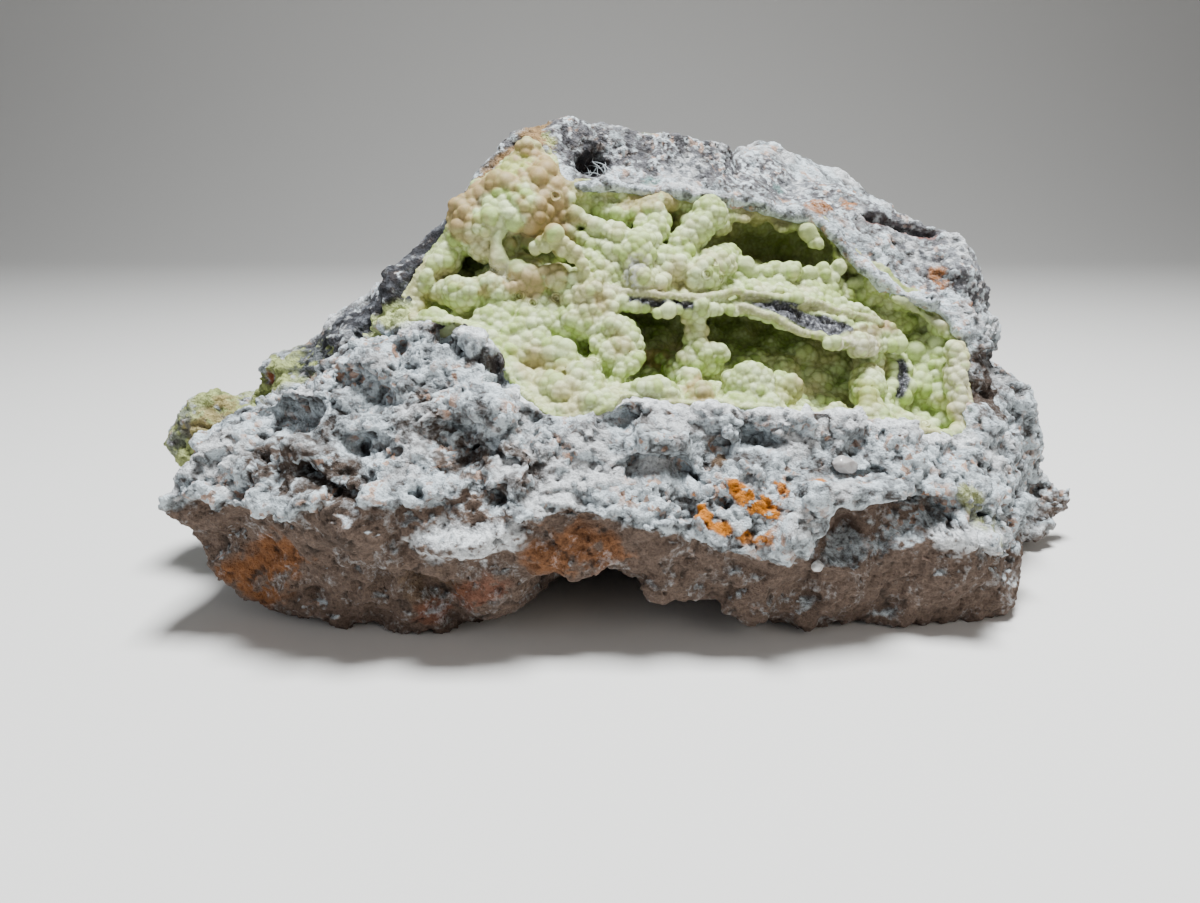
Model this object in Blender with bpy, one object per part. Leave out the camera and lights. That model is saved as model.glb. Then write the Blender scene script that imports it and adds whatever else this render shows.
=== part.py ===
"""Wavellite specimen: a rough lump of siliceous matrix whose sloping front holds an open vug,
lined with a botryoidal crust of wavellite.

The matrix is blocked out from convex chunks, weathered and pitted. The vug is blocked out from
ellipsoids, and lumps and stems of wavellite grow back into it. The solid that is left is parted along
a surface a little outside the vug: what lies inside it is the crust, what lies outside it the matrix.
The front faces -Y, and the specimen stands on the ground-off low spots of its underside, at Z = 0.
"""

import math

import bmesh
import bpy
from mathutils import Matrix, Vector, kdtree, noise

MM = 0.001
ORIGIN_SHIFT = Vector((-9.94, 2.67, 0.0))  # from the block-out frame to the middle of the footprint, mm

CRUST_THICKNESS = 2.2  # mm
FIT_GAP = 0.45  # mm, between the crust's back and the matrix
VUG_OVERSHOOT = 0.6  # mm that the vug is followed beyond the matrix's face when the crust is parted off
MATRIX_VOXEL = 1.3  # mm
VUG_VOXEL = 0.9  # mm
PIT_VOXEL = 0.8  # mm
PARTING_VOXEL = 1.5  # mm
MATRIX_TRIANGLES = 4000
VUG_TRIANGLES = 4400
PARTING_TRIANGLES = 500
SMOOTHING_FACTOR = 0.5  # share of the way to its neighbours' middle that a vertex moves in a round
BALL_DETAIL = 3  # icosphere subdivisions of a chamber or scoop
BEAD_DETAIL = 2  # icosphere subdivisions of a bead or knob

# Convex chunks of the matrix: corner points in mm, in the block-out frame.
MATRIX_CHUNKS = {
    "left_buttress": (
        (-84, -38, 30), (-80, -34, 36), (-66, -31, 45), (-54, -29, 54), (-40, -29, 59), (-30, -29, 62),
        (-22, -31, 57), (-16, -34, 50), (-83, -42, 24), (-63, -50, 31), (-45, -54, 29), (-27, -57, 27),
        (-14, -55, 29), (-85, -38, 20), (-82, -38, 12), (-75, -38, 4), (-66, -34, -1), (-55, -38, -1),
        (-41, -41, -1), (-28, -42, -1), (-18, -40, 3), (-62, 20, -1), (-66, 8, 38), (-20, 20, -1),
        (-20, 0, 55), (-45, -5, 57),
    ),
    "right_buttress": (
        (-20, -33, 50), (2, -36, 47), (27, -36, 46), (51, -35, 41), (64, -33, 38), (77, -29, 36),
        (87, -27, 30), (-16, -55, 29), (4, -52, 33), (18, -53, 29), (37, -52, 27), (56, -50, 27),
        (74, -45, 17), (84, -40, 8), (28, -38, -1), (41, -40, -1), (61, -39, -1), (82, -37, -1),
        (89, -33, 2), (90, 10, -1), (90, 0, 30), (20, 30, -1), (-16, 10, 5), (-16, 5, 48), (80, 5, 36),
    ),
    "bridge": (
        (-26, -54, 28), (-26, -48, 2), (0, -53, 30), (4, -48, 4), (28, -52, 28), (34, -45, 2), (-24, -8, 4),
        (32, -8, 4), (0, -8, 42), (-16, -34, 44), (20, -36, 45),
    ),
    "body": (
        (-40, -25, 58), (-8, -34, 46), (27, -34, 45), (60, -31, 39), (80, -24, 37), (-36, 2, 75),
        (-34, 3, 80), (-27, 4, 91), (-18, 4, 98), (-9, 2, 95), (9, 2, 92), (27, 6, 90), (43, 8, 86),
        (57, 6, 79), (66, 2, 71), (80, -2, 60), (92, -4, 45), (98, -2, 42), (99, -3, 28), (96, 0, 4),
        (-45, 25, 50), (-20, 38, 78), (20, 46, 84), (60, 46, 70), (92, 25, 40), (92, 30, 5),
        (50, 50, 8), (0, 50, 6), (-45, 38, 5), (-50, 20, -1), (80, 20, -1), (0, 35, -1),
    ),
    "canopy": (
        (-34, -4, 79), (-27, -13, 77), (-20, -15, 76), (-12, -15, 77), (-7, -10, 82), (-4, -3, 88),
        (-30, 1, 88), (-14, 3, 98), (-20, 14, 80), (-18, -10, 87),
    ),
    "crown": (
        (-18, 5, 99), (-13, 6, 101), (-9, 7, 102), (0, 7, 99), (20, 9, 99), (27, 11, 97), (33, 13, 95),
        (-9, -2, 90),
        (0, -2, 87), (9, -1, 87), (22, 2, 85), (-27, 4, 91), (-30, 2, 84), (-15, 25, 92), (20, 30, 92),
        (0, 40, 70), (-30, 20, 70),
    ),
    "rear_hump": (
        (34, 32, 96), (43, 35, 98), (51, 35, 95), (59, 35, 91), (69, 30, 85), (76, 28, 79), (81, 22, 75),
        (30, 12, 90), (60, 8, 78), (40, 48, 80), (70, 46, 60), (80, 40, 55), (88, 15, 60), (25, 30, 70),
    ),
    "right_shoulder": (
        (32, 5, 84), (30, 18, 92), (46, 18, 90), (43, 5, 82), (57, 3, 75), (64, 0, 68), (72, -4, 63),
        (77, -10, 56), (83, 5, 76),
        (86, 4, 69), (88, 3, 63), (91, 0, 57), (96, 0, 50), (80, -16, 48), (80, 25, 70), (60, 25, 80),
        (92, 20, 45), (50, 10, 60),
    ),
    "right_flank": (
        (80, -18, 47), (79, -28, 37), (99, -2, 43), (101, -3, 29), (88, -27, 30), (92, -20, 10),
        (100, -5, 5), (90, -30, 3), (95, 20, 5), (95, 15, 40),
    ),
    "rear_knob": (
        (103, 0, 30), (108, 5, 31), (115, 8, 26), (117, 9, 20), (112, 5, 14), (100, 18, 24), (100, 14, 5),
        (94, 2, 34), (96, 4, 8),
    ),
    "rear_blade": (
        (96, -9, 3), (104, -8, 1), (122, 6, 13), (120, 9, 8), (113, 1, 3), (96, -4, 10), (118, 10, 15),
        (100, 6, 2), (98, 8, 10),
    ),
    "back_left": (
        (-70, 2, 2), (-68, 4, 34), (-58, 24, 28), (-58, 22, 2), (-38, 40, 8), (-34, 38, 52), (-44, 26, 62),
        (-62, 6, 46), (-26, 10, 50), (-28, 26, 72), (-30, 8, 20),
    ),
    "left_lobe": (
        (-101, -10, 30), (-98, -12, 21), (-96, -9, 38), (-90, -8, 43), (-82, -8, 42), (-76, -14, 37),
        (-83, -22, 22), (-91, -18, 18), (-79, 12, 37), (-92, 8, 29), (-79, 12, 12), (-69, 6, 18),
    ),
    "left_knob": (
        (-80, -5, 47), (-73, -3, 53), (-66, -3, 54), (-63, -12, 49), (-70, -15, 42), (-79, -10, 40),
        (-64, 12, 48), (-76, 8, 40), (-60, 0, 40),
    ),
    "left_ridge": (
        (-69, -2, 51), (-55, 1, 60), (-47, 1, 65), (-34, 3, 77), (-40, -16, 61), (-57, -14, 52),
        (-60, 18, 44), (-38, 24, 68), (-66, 4, 40), (-28, 14, 84), (-44, 14, 66),
    ),
}
CHUNK_SOFTENING = 3  # rounds of smoothing over the chunks' arrises
FUSED_SOFTENING = 2  # rounds of smoothing before a surface is weathered

# Ellipsoids scooped out of the matrix: middle, half-axes and tilt about X in degrees.
MATRIX_SCOOPS = (
    ((6, -46, -4), (31, 30, 14), 0),  # arch under the front, and its crown
    ((-1, -50, 6), (14, 22, 11.5), 0),
    ((-58, -62, 12), (26, 12, 13), 20),  # undercut of the left buttress
    ((66, -57, 13), (24, 8, 12), 15),  # undercut of the right buttress
    ((44, -60, 16), (22, 9, 7), 0),  # undercut of the ledge on the right
    ((94, -19, 42), (8, 10, 12), 0),  # hollow in the right flank
    ((105, -3, 16), (4, 5, 5), 0),  # pocket behind the rear blade
    ((0, 62, 4), (34, 22, 14), 0),  # hollow under the back
    ((64, 56, 40), (20, 14, 16), 0),  # scar on the back
    ((-52, 44, 36), (20, 12, 16), 0),  # scar on the back of the left ridge
    ((30, 62, 66), (26, 12, 18), 30),  # scar under the rear hump
    ((-8, 59, 44), (34, 10, 12), 15),  # ledges across the back
    ((52, 60, 18), (26, 10, 14), -10),
)
# Solution pits: mouth, radius and depth direction. Each narrows towards its end.
MATRIX_PITS = (
    ((-30, -31, 60), 4.2, (0, 0.8, -0.6)),
    ((-42, -31, 54), 2.6, (0, 0.8, -0.5)),
    ((-20, -35, 51), 3.2, (0, 0.8, -0.5)),
    ((-3, -2, 92), 4.6, (0, 0.8, -0.5)),
    ((12, -46, 41), 3.0, (0, 0.9, -0.3)),
)
PIT_DEPTH = 1.6  # times its radius, to the middle of its end
PIT_END = 0.6  # share of its radius

# The edge of the vug's mouth: from the right end of the lip along it to the left, and back under the rim.
MOUTH = (
    (78, -28, 36), (69, -31, 38), (58, -34, 42), (47, -36, 44), (37, -37, 45), (27, -37, 46), (17, -37, 47),
    (8, -37, 46), (0, -37, 45), (-7, -37, 43), (-13, -36, 45), (-17, -35, 50), (-19, -33, 55), (-22, -32, 58),
    (-27, -30, 61), (-33, -28, 62), (-38, -25, 60), (-41, -21, 60), (-42, -17, 63), (-36, -10, 70),
    (-31, -8, 76), (-27, -10, 77), (-21, -13, 76), (-14, -13, 78), (-10, -10, 82), (-7, -2, 86),
    (0, -1, 85), (9, -1, 84), (18, 0, 84), (26, 3, 85), (34, 4, 82), (43, 4, 79), (49, 4, 80), (54, 3, 75),
    (61, 0, 67), (66, -2, 62), (71, -3, 63), (77, -6, 60), (81, -10, 53), (79, -14, 48), (79, -19, 43),
    (79, -24, 39),
)
LIP_RADIUS = 2.4  # mm, of the rounded rock edge along the mouth
COLLAR_RADIUS = 6.0  # mm, reach of the rock that the chambers leave standing behind that edge

# Ellipsoids that make the vug: middle, half-axes and tilt about X in degrees.
VUG_CHAMBERS = (
    ((30, -20, 55), (34, 24, 9), 14),  # lower chamber, under the shelf
    ((8, -16, 56), (14, 20, 9), 18),
    ((-6, -34, 54), (13, 14, 9), 20),
    ((54, -24, 50), (24, 18, 11), 14),
    ((40, 0, 72), (20, 15, 9), 3),  # upper chamber, under the rim
    ((30, -10, 68), (22, 14, 14), 20),
    ((58, -8, 64), (20, 16, 10), 20),
    ((70, -16, 52), (13, 14, 12), 25),
    ((-10, -30, 63), (20, 20, 9.5), 44),  # open slope on the left
    ((-31, -18, 68), (13, 11, 9), 44),
    ((6, -12, 76), (18, 14, 12), 30),
    ((-30, -8, 71), (7, 9, 6.5), 10),  # dark hollows between the stems
    ((-17, -4, 72), (8, 9, 7), 10),
    ((-4, -3, 76), (9, 9, 9), 10),
    ((74, -22, 46), (10, 12, 12), 30),  # right end of the vug
)
# Ellipsoids of crust that spreads over the rock beside the mouth.
OVERGROWTHS = (
    ((-24, -7, 86), (9, 6, 9), -15),
    ((-17, -7, 92), (9, 7, 9), -15),
    ((-13, -3, 97), (5, 5, 6), -15),
    ((-18, -10, 80), (14, 6, 8), 0),
)
# Knobs of that crust: middle and radius.
OVERGROWN_KNOBS = (
    ((-26, -8, 82), 3.4), ((-22, -9, 86), 3.4), ((-17, -10, 85), 3.6), ((-12, -8, 88), 3.2),
    ((-19, -4, 90), 3.2), ((-16, -1, 93), 2.8), ((-24, -3, 87), 3.0), ((-27, -11, 78), 3.4),
    ((-21, -13, 80), 3.8), ((-15, -13, 81), 3.6), ((-9, -9, 84), 3.0),
)
# The shelf that parts the two chambers, with its edge to the front: (x, y, z, radius).
SHELF = (
    ((0, -20, 64.5, 2.0), (12, -20, 64, 1.8), (24, -20, 63.5, 1.8), (34, -20, 62.5, 2.2),
     (45, -20, 59.5, 2.8), (56, -21, 56, 3.2), (64, -23, 52, 2.8)),
    ((0, -8, 65, 2.4), (12, -8, 65.5, 2.2), (24, -8, 65.5, 2.2), (34, -8, 65, 2.4),
     (45, -9, 62.5, 3.0), (56, -11, 59, 3.4), (66, -14, 55, 2.8)),
    ((2, 6, 66, 3.2), (14, 7, 67, 2.8), (28, 7, 67, 2.8), (44, 5, 66, 3.2), (58, 2, 62, 3.6)),
)
# Stems, clubs and strings of wavellite that stand in the vug: beads (x, y, z, radius).
STEMS = {
    "left_column": ((-22, -10, 79, 3.4), (-21, -13, 75, 2.4), (-21, -15, 71, 2.6), (-20, -17, 67, 3.6)),
    "tan_rod": ((-28, -17, 64, 3.0), (-21, -17, 66, 3.4), (-15, -17, 67, 3.2), (-9, -17, 68, 3.4),
                (-3, -17, 67, 3.0)),
    "arch": ((-12, -12, 71, 2.8), (-8, -12, 74, 2.4), (-3, -14, 73, 2.4), (0, -17, 69, 3.0)),
    "blade_above_arch": ((-10, -8, 80, 2.0), (-4, -9, 78, 2.0), (2, -11, 76, 2.2), (6, -13, 74, 2.6)),
    "knob": ((7, -15, 71, 4.4), (9, -14, 75, 3.8), (10, -11, 80, 3.4), (8, -6, 84, 3.0)),
    "club": ((14, -15, 71, 4.0), (17, -13, 75, 4.2), (20, -9, 80, 3.6), (24, -5, 83, 3.4)),
    "rosette": ((21, -14, 68, 3.6), (23, -16, 71, 3.8)),
    "hanging_drop": ((20, -18, 61, 2.2), (20, -18, 58, 1.8), (20, -18, 55, 1.8)),
    "floor_lumps": ((18, -20, 52, 2.4), (21, -20, 54, 2.6), (25, -20, 53, 2.4)),
    "string": ((10, -27, 56, 2.0), (13, -29, 54, 2.0), (16, -31, 51, 2.4), (20, -32, 49, 2.4)),
    "snout": ((-3, -20, 61, 4.2), (2, -25, 57, 4.0), (5, -28, 54, 3.6), (0, -30, 50, 4.0)),
    "slope_ridge": ((-22, -24, 59, 3.4), (-14, -25, 57, 3.8), (-8, -26, 54, 3.6), (-5, -30, 49, 3.4)),
    "round_lump": ((30, -28, 47, 4.2), (38, -27, 47, 3.4)),
    "right_column": ((56, -22, 56, 3.2), (57, -25, 51, 3.6), (57, -27, 46, 3.8), (58, -29, 42, 3.6)),
    "right_window": ((64, -26, 52, 3.0), (66, -27, 46, 3.2), (65, -28, 42, 3.4)),
    "right_fingers": ((72, -15, 57, 2.8), (73, -18, 52, 2.8), (74, -21, 47, 2.8), (74, -25, 43, 3.0)),
    "upper_beads": ((31, -8, 69, 2.6), (35, -8, 69, 2.0), (40, -7, 69, 2.6), (46, -6, 68, 2.6),
                    (52, -4, 68, 2.6)),
}
STEM_WAIST = 0.65  # share of its beads' radius that a stem has between them
LUMP_SPACING = 6.6  # mm, between the knobs that cover the vug's walls
LUMP_RADIUS = (3.0, 4.3)  # mm
LUMP_PATCHES = 7.0  # mm, size of the patches in which the knobs grew alike
LUMP_SINK = 1.0  # mm that a knob's middle lies behind the wall

WEATHERING = ((26.0, 2.0), (11.0, 1.8), (5.5, 0.9))  # noise size and height, mm
VUG_UNEVENNESS = ((12.0, 1.2),)  # noise size and height, mm
NOISE_STEP = 17.0  # shift along X from one octave of the noise to the next
NOISE_START = (5.0, 31.0)  # Y and Z of that shift
FRACTAL = (1.0, 2.0, 3)  # fall of height, rise of detail and number of layers within an octave

GROUND_SLAB = (400, 400, 40)  # mm
MATRIX_COLOUR = (0.56, 0.54, 0.51)
MATRIX_ROUGHNESS = 0.9
MATRIX_CREASE = 12.0  # degrees
CRUST_COLOUR = (0.62, 0.64, 0.33)
CRUST_ROUGHNESS = 0.6
CRUST_CREASE = 38.0  # degrees


def new_object(name, mesh):
    """Links a mesh to the scene as an object."""
    obj = bpy.data.objects.new(name, mesh)
    bpy.context.scene.collection.objects.link(obj)
    return obj


def object_from(name, bm):
    """Turns a bmesh in mm into an object in metres."""
    bm.transform(Matrix.Scale(MM, 4))
    mesh = bpy.data.meshes.new(name)
    bm.to_mesh(mesh)
    bm.free()
    return new_object(name, mesh)


def joined(name, parts):
    """Joins the meshes of several objects into one and removes the objects."""
    bm = bmesh.new()
    for part in parts:
        bm.from_mesh(part.data)
        bpy.data.objects.remove(part)
    mesh = bpy.data.meshes.new(name)
    bm.to_mesh(mesh)
    bm.free()
    return new_object(name, mesh)


def bake(obj):
    """Applies an object's modifiers to its mesh."""
    graph = bpy.context.evaluated_depsgraph_get()
    mesh = bpy.data.meshes.new_from_object(obj.evaluated_get(graph))
    obj.modifiers.clear()
    obj.data = mesh
    return obj


def fuse(obj, voxel):
    """Fuses overlapping closed shapes into one skin of even squares."""
    remesh = obj.modifiers.new("fuse", "REMESH")
    remesh.mode = "VOXEL"
    remesh.voxel_size = voxel * MM
    return bake(obj)


def soften(obj, rounds):
    """Smooths an object's vertices."""
    smooth = obj.modifiers.new("soften", "SMOOTH")
    smooth.factor = SMOOTHING_FACTOR
    smooth.iterations = rounds
    return bake(obj)


def thin_out(obj, triangles):
    """Collapses edges until about this many triangles are left."""
    obj.data.calc_loop_triangles()
    decimate = obj.modifiers.new("thin out", "DECIMATE")
    decimate.ratio = triangles / len(obj.data.loop_triangles)
    decimate.use_collapse_triangulate = True
    return bake(obj)


def boolean(obj, other, operation):
    """Applies a Boolean with another object's mesh."""
    modifier = obj.modifiers.new(operation, "BOOLEAN")
    modifier.operation = operation
    modifier.object = other
    return bake(obj)


def copy_of(obj, name):
    """A second object with its own copy of the mesh."""
    return new_object(name, obj.data.copy())


def swell(obj, distance):
    """Moves every vertex outwards along its normal, by millimetres."""
    displace = obj.modifiers.new("swell", "DISPLACE")
    displace.strength = distance * MM
    displace.mid_level = 0.0
    return bake(obj)


def keep_largest_body(obj):
    """Deletes all but the largest connected shell of a mesh."""
    bm = bmesh.new()
    bm.from_mesh(obj.data)
    unseen = set(bm.verts)
    shells = []
    while unseen:
        shell = [unseen.pop()]
        for vert in shell:
            for edge in vert.link_edges:
                other = edge.other_vert(vert)
                if other in unseen:
                    unseen.remove(other)
                    shell.append(other)
        shells.append(shell)
    shells.sort(key=len)
    for shell in shells[:-1]:
        bmesh.ops.delete(bm, geom=shell, context="VERTS")
    bmesh.ops.triangulate(bm, faces=bm.faces)
    bm.to_mesh(obj.data)
    bm.free()
    return obj


def chunk(name, corners):
    """A convex block through its corner points."""
    bm = bmesh.new()
    for corner in corners:
        bm.verts.new(corner)
    hull = bmesh.ops.convex_hull(bm, input=bm.verts)
    bmesh.ops.delete(bm, geom=hull["geom_interior"], context="VERTS")
    bmesh.ops.recalc_face_normals(bm, faces=bm.faces)
    return object_from(name, bm)


def ellipsoid(name, middle, half_axes, tilt=0.0):
    """A ball stretched along X, Y and Z, then tilted about X so that its back rises."""
    bm = bmesh.new()
    place = (
        Matrix.Translation(middle)
        @ Matrix.Rotation(math.radians(tilt), 4, "X")
        @ Matrix.Diagonal((*half_axes, 1.0))
    )
    bmesh.ops.create_icosphere(bm, subdivisions=BALL_DETAIL, radius=1.0, matrix=place)
    return object_from(name, bm)


def hull_of_beads(name, beads, scale=1.0):
    """The convex hull of a few beads (x, y, z, radius)."""
    bm = bmesh.new()
    for *middle, radius in beads:
        place = Matrix.Translation(middle)
        bmesh.ops.create_icosphere(bm, subdivisions=BEAD_DETAIL, radius=radius * scale, matrix=place)
    hull = bmesh.ops.convex_hull(bm, input=bm.verts)
    bmesh.ops.delete(bm, geom=list({*hull["geom_interior"], *hull["geom_unused"]}), context="VERTS")
    bmesh.ops.recalc_face_normals(bm, faces=bm.faces)
    return object_from(name, bm)


def strand(name, beads, waist=1.0):
    """A rod through beads (x, y, z, radius), drawn in between them to a share of their radius."""
    parts = [hull_of_beads(name, pair, waist) for pair in zip(beads, beads[1:])]
    parts += [hull_of_beads(name, (bead,)) for bead in beads]
    return joined(name, parts)


def shelf_slab(name, rows):
    """A thin slab through rows of beads: the hull of each four neighbours."""
    slabs = []
    for row, next_row in zip(rows, rows[1:]):
        for i in range(min(len(row), len(next_row)) - 1):
            slabs.append(hull_of_beads(name, (row[i], row[i + 1], next_row[i], next_row[i + 1])))
    return joined(name, slabs)


def mouth_ring(name, radius, reach=0.0):
    """A closed rod of round section around the mouth, which reaches this far inside its edge."""
    beads = []
    count = len(MOUTH)
    for i in range(count):
        before, here, after = (Vector(MOUTH[(i + step) % count]) for step in (-1, 0, 1))
        along = after - before
        outwards = Vector((-along.z, 0.0, along.x)).normalized()
        beads.append((*(here + outwards * (radius - reach)), radius))
    return strand(name, (*beads, beads[0]))


def weather(obj, octaves):
    """Roughens a surface: each octave of noise pushes the vertices along their normals."""
    for octave, (size, height) in enumerate(octaves):
        offset = Vector((NOISE_STEP * octave, *NOISE_START))
        moves = [
            vert.normal * noise.fractal(vert.co / (size * MM) + offset, *FRACTAL) * height * MM
            for vert in obj.data.vertices
        ]
        for vert, move in zip(obj.data.vertices, moves):
            vert.co += move
        obj.data.update()
    return obj


def rough_matrix():
    """The matrix before the vug is opened: chunks fused, softened, scooped, weathered and pitted."""
    chunks = [chunk(name, corners) for name, corners in MATRIX_CHUNKS.items()]
    chunks.append(mouth_ring("lip", LIP_RADIUS))
    chunks += [ellipsoid("knob", middle, (radius,) * 3) for middle, radius in OVERGROWN_KNOBS]
    matrix = soften(fuse(joined("matrix", chunks), MATRIX_VOXEL), CHUNK_SOFTENING)
    scoops = [ellipsoid("scoop", *scoop) for scoop in MATRIX_SCOOPS]
    boolean(matrix, fuse(joined("scoops", scoops), MATRIX_VOXEL), "DIFFERENCE")
    matrix = weather(soften(fuse(matrix, MATRIX_VOXEL), FUSED_SOFTENING), WEATHERING)
    pits = []
    for mouth, radius, inwards in MATRIX_PITS:
        end = Vector(mouth) + Vector(inwards) * radius * PIT_DEPTH
        start = Vector(mouth) - Vector(inwards) * radius
        pits.append(strand("pit", ((*start, radius), (*end, radius * PIT_END))))
    boolean(matrix, fuse(joined("pits", pits), PIT_VOXEL), "DIFFERENCE")
    return keep_largest_body(thin_out(fuse(matrix, MATRIX_VOXEL), MATRIX_TRIANGLES))


def ground_flat(obj):
    """Cuts the low spots of the underside off at Z = 0, so that the specimen stands."""
    bm = bmesh.new()
    place = Matrix.Translation((0, 0, -GROUND_SLAB[2] / 2)) @ Matrix.Diagonal((*GROUND_SLAB, 1))
    bmesh.ops.create_cube(bm, size=1.0, matrix=place)
    slab = object_from("ground", bm)
    boolean(obj, slab, "DIFFERENCE")
    bpy.data.objects.remove(slab)
    return obj


def vug_block():
    """The vug before anything has grown in it: its chambers, kept within the edge of the mouth."""
    chambers = [ellipsoid("chamber", *chamber) for chamber in VUG_CHAMBERS]
    vug = weather(soften(fuse(joined("vug", chambers), VUG_VOXEL), FUSED_SOFTENING), VUG_UNEVENNESS)
    collar = fuse(mouth_ring("collar", COLLAR_RADIUS, CRUST_THICKNESS), VUG_VOXEL)
    boolean(vug, collar, "DIFFERENCE")
    bpy.data.objects.remove(collar)
    return keep_largest_body(fuse(vug, VUG_VOXEL))


def spaced_points(mesh, spacing):
    """Vertices of a mesh that lie at least a spacing apart, taken in the mesh's own order."""
    tree = kdtree.KDTree(len(mesh.vertices))
    for vert in mesh.vertices:
        tree.insert(vert.co, vert.index)
    tree.balance()
    taken = set()
    chosen = []
    for vert in mesh.vertices:
        if vert.index in taken:
            continue
        chosen.append(vert)
        taken.update(index for _, index, _ in tree.find_range(vert.co, spacing * MM))
    return chosen


def knobs_on(wall):
    """Knobs of wavellite half sunk in a wall, of sizes that vary from place to place."""
    low, high = LUMP_RADIUS
    bm = bmesh.new()
    for vert in spaced_points(wall.data, LUMP_SPACING):
        share = (1 + noise.noise(vert.co / (LUMP_PATCHES * MM))) / 2
        radius = low + (high - low) * share
        middle = (vert.co + vert.normal * LUMP_SINK * MM) / MM
        place = Matrix.Translation(middle)
        bmesh.ops.create_icosphere(bm, subdivisions=BEAD_DETAIL, radius=radius, matrix=place)
    return object_from("knobs", bm)


def opened_vug(vug):
    """The empty space of the vug: the vug less its shelf, stems and knobs."""
    growths = [strand(name, beads, STEM_WAIST) for name, beads in STEMS.items()]
    growths += [shelf_slab("shelf", SHELF), knobs_on(vug)]
    growth = fuse(joined("growth", growths), VUG_VOXEL)
    space = boolean(copy_of(vug, "space"), growth, "DIFFERENCE")
    bpy.data.objects.remove(growth)
    space = keep_largest_body(fuse(space, VUG_VOXEL))
    return keep_largest_body(thin_out(space, VUG_TRIANGLES))


def finish(obj, colour, roughness, crease):
    """Moves an object to the specimen's own frame, shades it and gives it a plain material.

    Edges that turn by more than the crease angle, in degrees, stay sharp.
    """
    obj.data.transform(Matrix.Translation(ORIGIN_SHIFT * MM))
    material = bpy.data.materials.new(obj.name)
    material.use_nodes = True
    shader = material.node_tree.nodes["Principled BSDF"]
    shader.inputs["Base Color"].default_value = (*colour, 1.0)
    shader.inputs["Roughness"].default_value = roughness
    obj.data.materials.clear()
    obj.data.materials.append(material)
    obj.data.shade_smooth()
    obj.data.set_sharp_from_angle(angle=math.radians(crease))


def main():
    """Builds the matrix and the crust."""
    for obj in list(bpy.data.objects):
        bpy.data.objects.remove(obj)
    vug = vug_block()
    space = opened_vug(vug)
    matrix = ground_flat(rough_matrix())
    matrix.name = "matrix"
    boolean(vug, swell(copy_of(matrix, "reach"), VUG_OVERSHOOT), "INTERSECT")
    skins = [swell(fuse(vug, VUG_VOXEL), CRUST_THICKNESS)]
    skins += [ellipsoid("overgrowth", *skin) for skin in OVERGROWTHS]
    parting = thin_out(fuse(joined("parting", skins), PARTING_VOXEL), PARTING_TRIANGLES)
    outer_parting = swell(copy_of(parting, "outer parting"), FIT_GAP)
    boolean(matrix, space, "DIFFERENCE")
    keep_largest_body(matrix)
    crust = copy_of(matrix, "wavellite_crust")
    keep_largest_body(boolean(crust, parting, "INTERSECT"))
    keep_largest_body(boolean(matrix, outer_parting, "DIFFERENCE"))

    for obj in list(bpy.data.objects):
        if obj not in (matrix, crust):
            bpy.data.objects.remove(obj)
    finish(matrix, MATRIX_COLOUR, MATRIX_ROUGHNESS, MATRIX_CREASE)
    finish(crust, CRUST_COLOUR, CRUST_ROUGHNESS, CRUST_CREASE)


main()
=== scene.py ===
"""The looks of a wavellite specimen: crumbly siliceous rock round a vug that is lined with wavellite.

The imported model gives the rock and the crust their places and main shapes. Here the rock gets its
ledges, lumps, crumbs, pits and stains, and the crust gets its thousands of wavellite balls. Lengths in
the classes are millimetres in the specimen's own frame: X right, Y away, Z up, standing on Z = 0.
"""

import itertools
import logging
import math
from collections.abc import Iterator, Sequence
from contextlib import contextmanager
from dataclasses import dataclass, field
from enum import Enum
from typing import Any

import bpy
import numpy as np
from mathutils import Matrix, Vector
from mathutils.bvhtree import BVHTree
from mathutils.kdtree import KDTree


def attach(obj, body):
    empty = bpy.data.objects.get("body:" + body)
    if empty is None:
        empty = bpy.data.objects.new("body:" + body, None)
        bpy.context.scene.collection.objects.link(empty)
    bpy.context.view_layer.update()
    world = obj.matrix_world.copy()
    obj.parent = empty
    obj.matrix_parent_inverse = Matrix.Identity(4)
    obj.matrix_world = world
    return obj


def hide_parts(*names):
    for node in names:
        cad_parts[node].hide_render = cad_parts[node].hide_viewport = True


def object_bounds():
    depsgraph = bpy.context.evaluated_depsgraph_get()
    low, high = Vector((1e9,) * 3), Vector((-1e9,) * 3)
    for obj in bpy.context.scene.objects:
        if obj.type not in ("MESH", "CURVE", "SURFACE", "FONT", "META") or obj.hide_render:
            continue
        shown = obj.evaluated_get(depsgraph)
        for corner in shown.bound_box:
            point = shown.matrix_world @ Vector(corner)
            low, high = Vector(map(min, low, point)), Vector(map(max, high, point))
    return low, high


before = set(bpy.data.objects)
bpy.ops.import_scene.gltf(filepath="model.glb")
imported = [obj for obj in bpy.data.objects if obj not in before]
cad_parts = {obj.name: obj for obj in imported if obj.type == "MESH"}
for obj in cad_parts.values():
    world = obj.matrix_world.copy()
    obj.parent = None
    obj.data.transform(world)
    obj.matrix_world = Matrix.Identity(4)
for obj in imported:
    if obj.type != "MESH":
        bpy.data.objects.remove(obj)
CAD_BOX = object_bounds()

MM = 0.001
BODY = "root"
Point = tuple[float, float, float]
Bead = tuple[float, float, float, float]
log = logging.getLogger("specimen")


# ---- colour and materials


def linear(hex_colour: str) -> tuple[float, float, float]:
    """Turns an sRGB hex colour to linear light.

    Args:
        hex_colour: Six hex digits, with or without a leading hash.

    Returns:
        Red, green and blue from 0 to 1.
    """
    digits = hex_colour.lstrip("#")
    parts = [int(digits[i : i + 2], 16) / 255 for i in (0, 2, 4)]
    return tuple(p / 12.92 if p <= 0.04045 else ((p + 0.055) / 1.055) ** 2.4 for p in parts)


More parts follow.
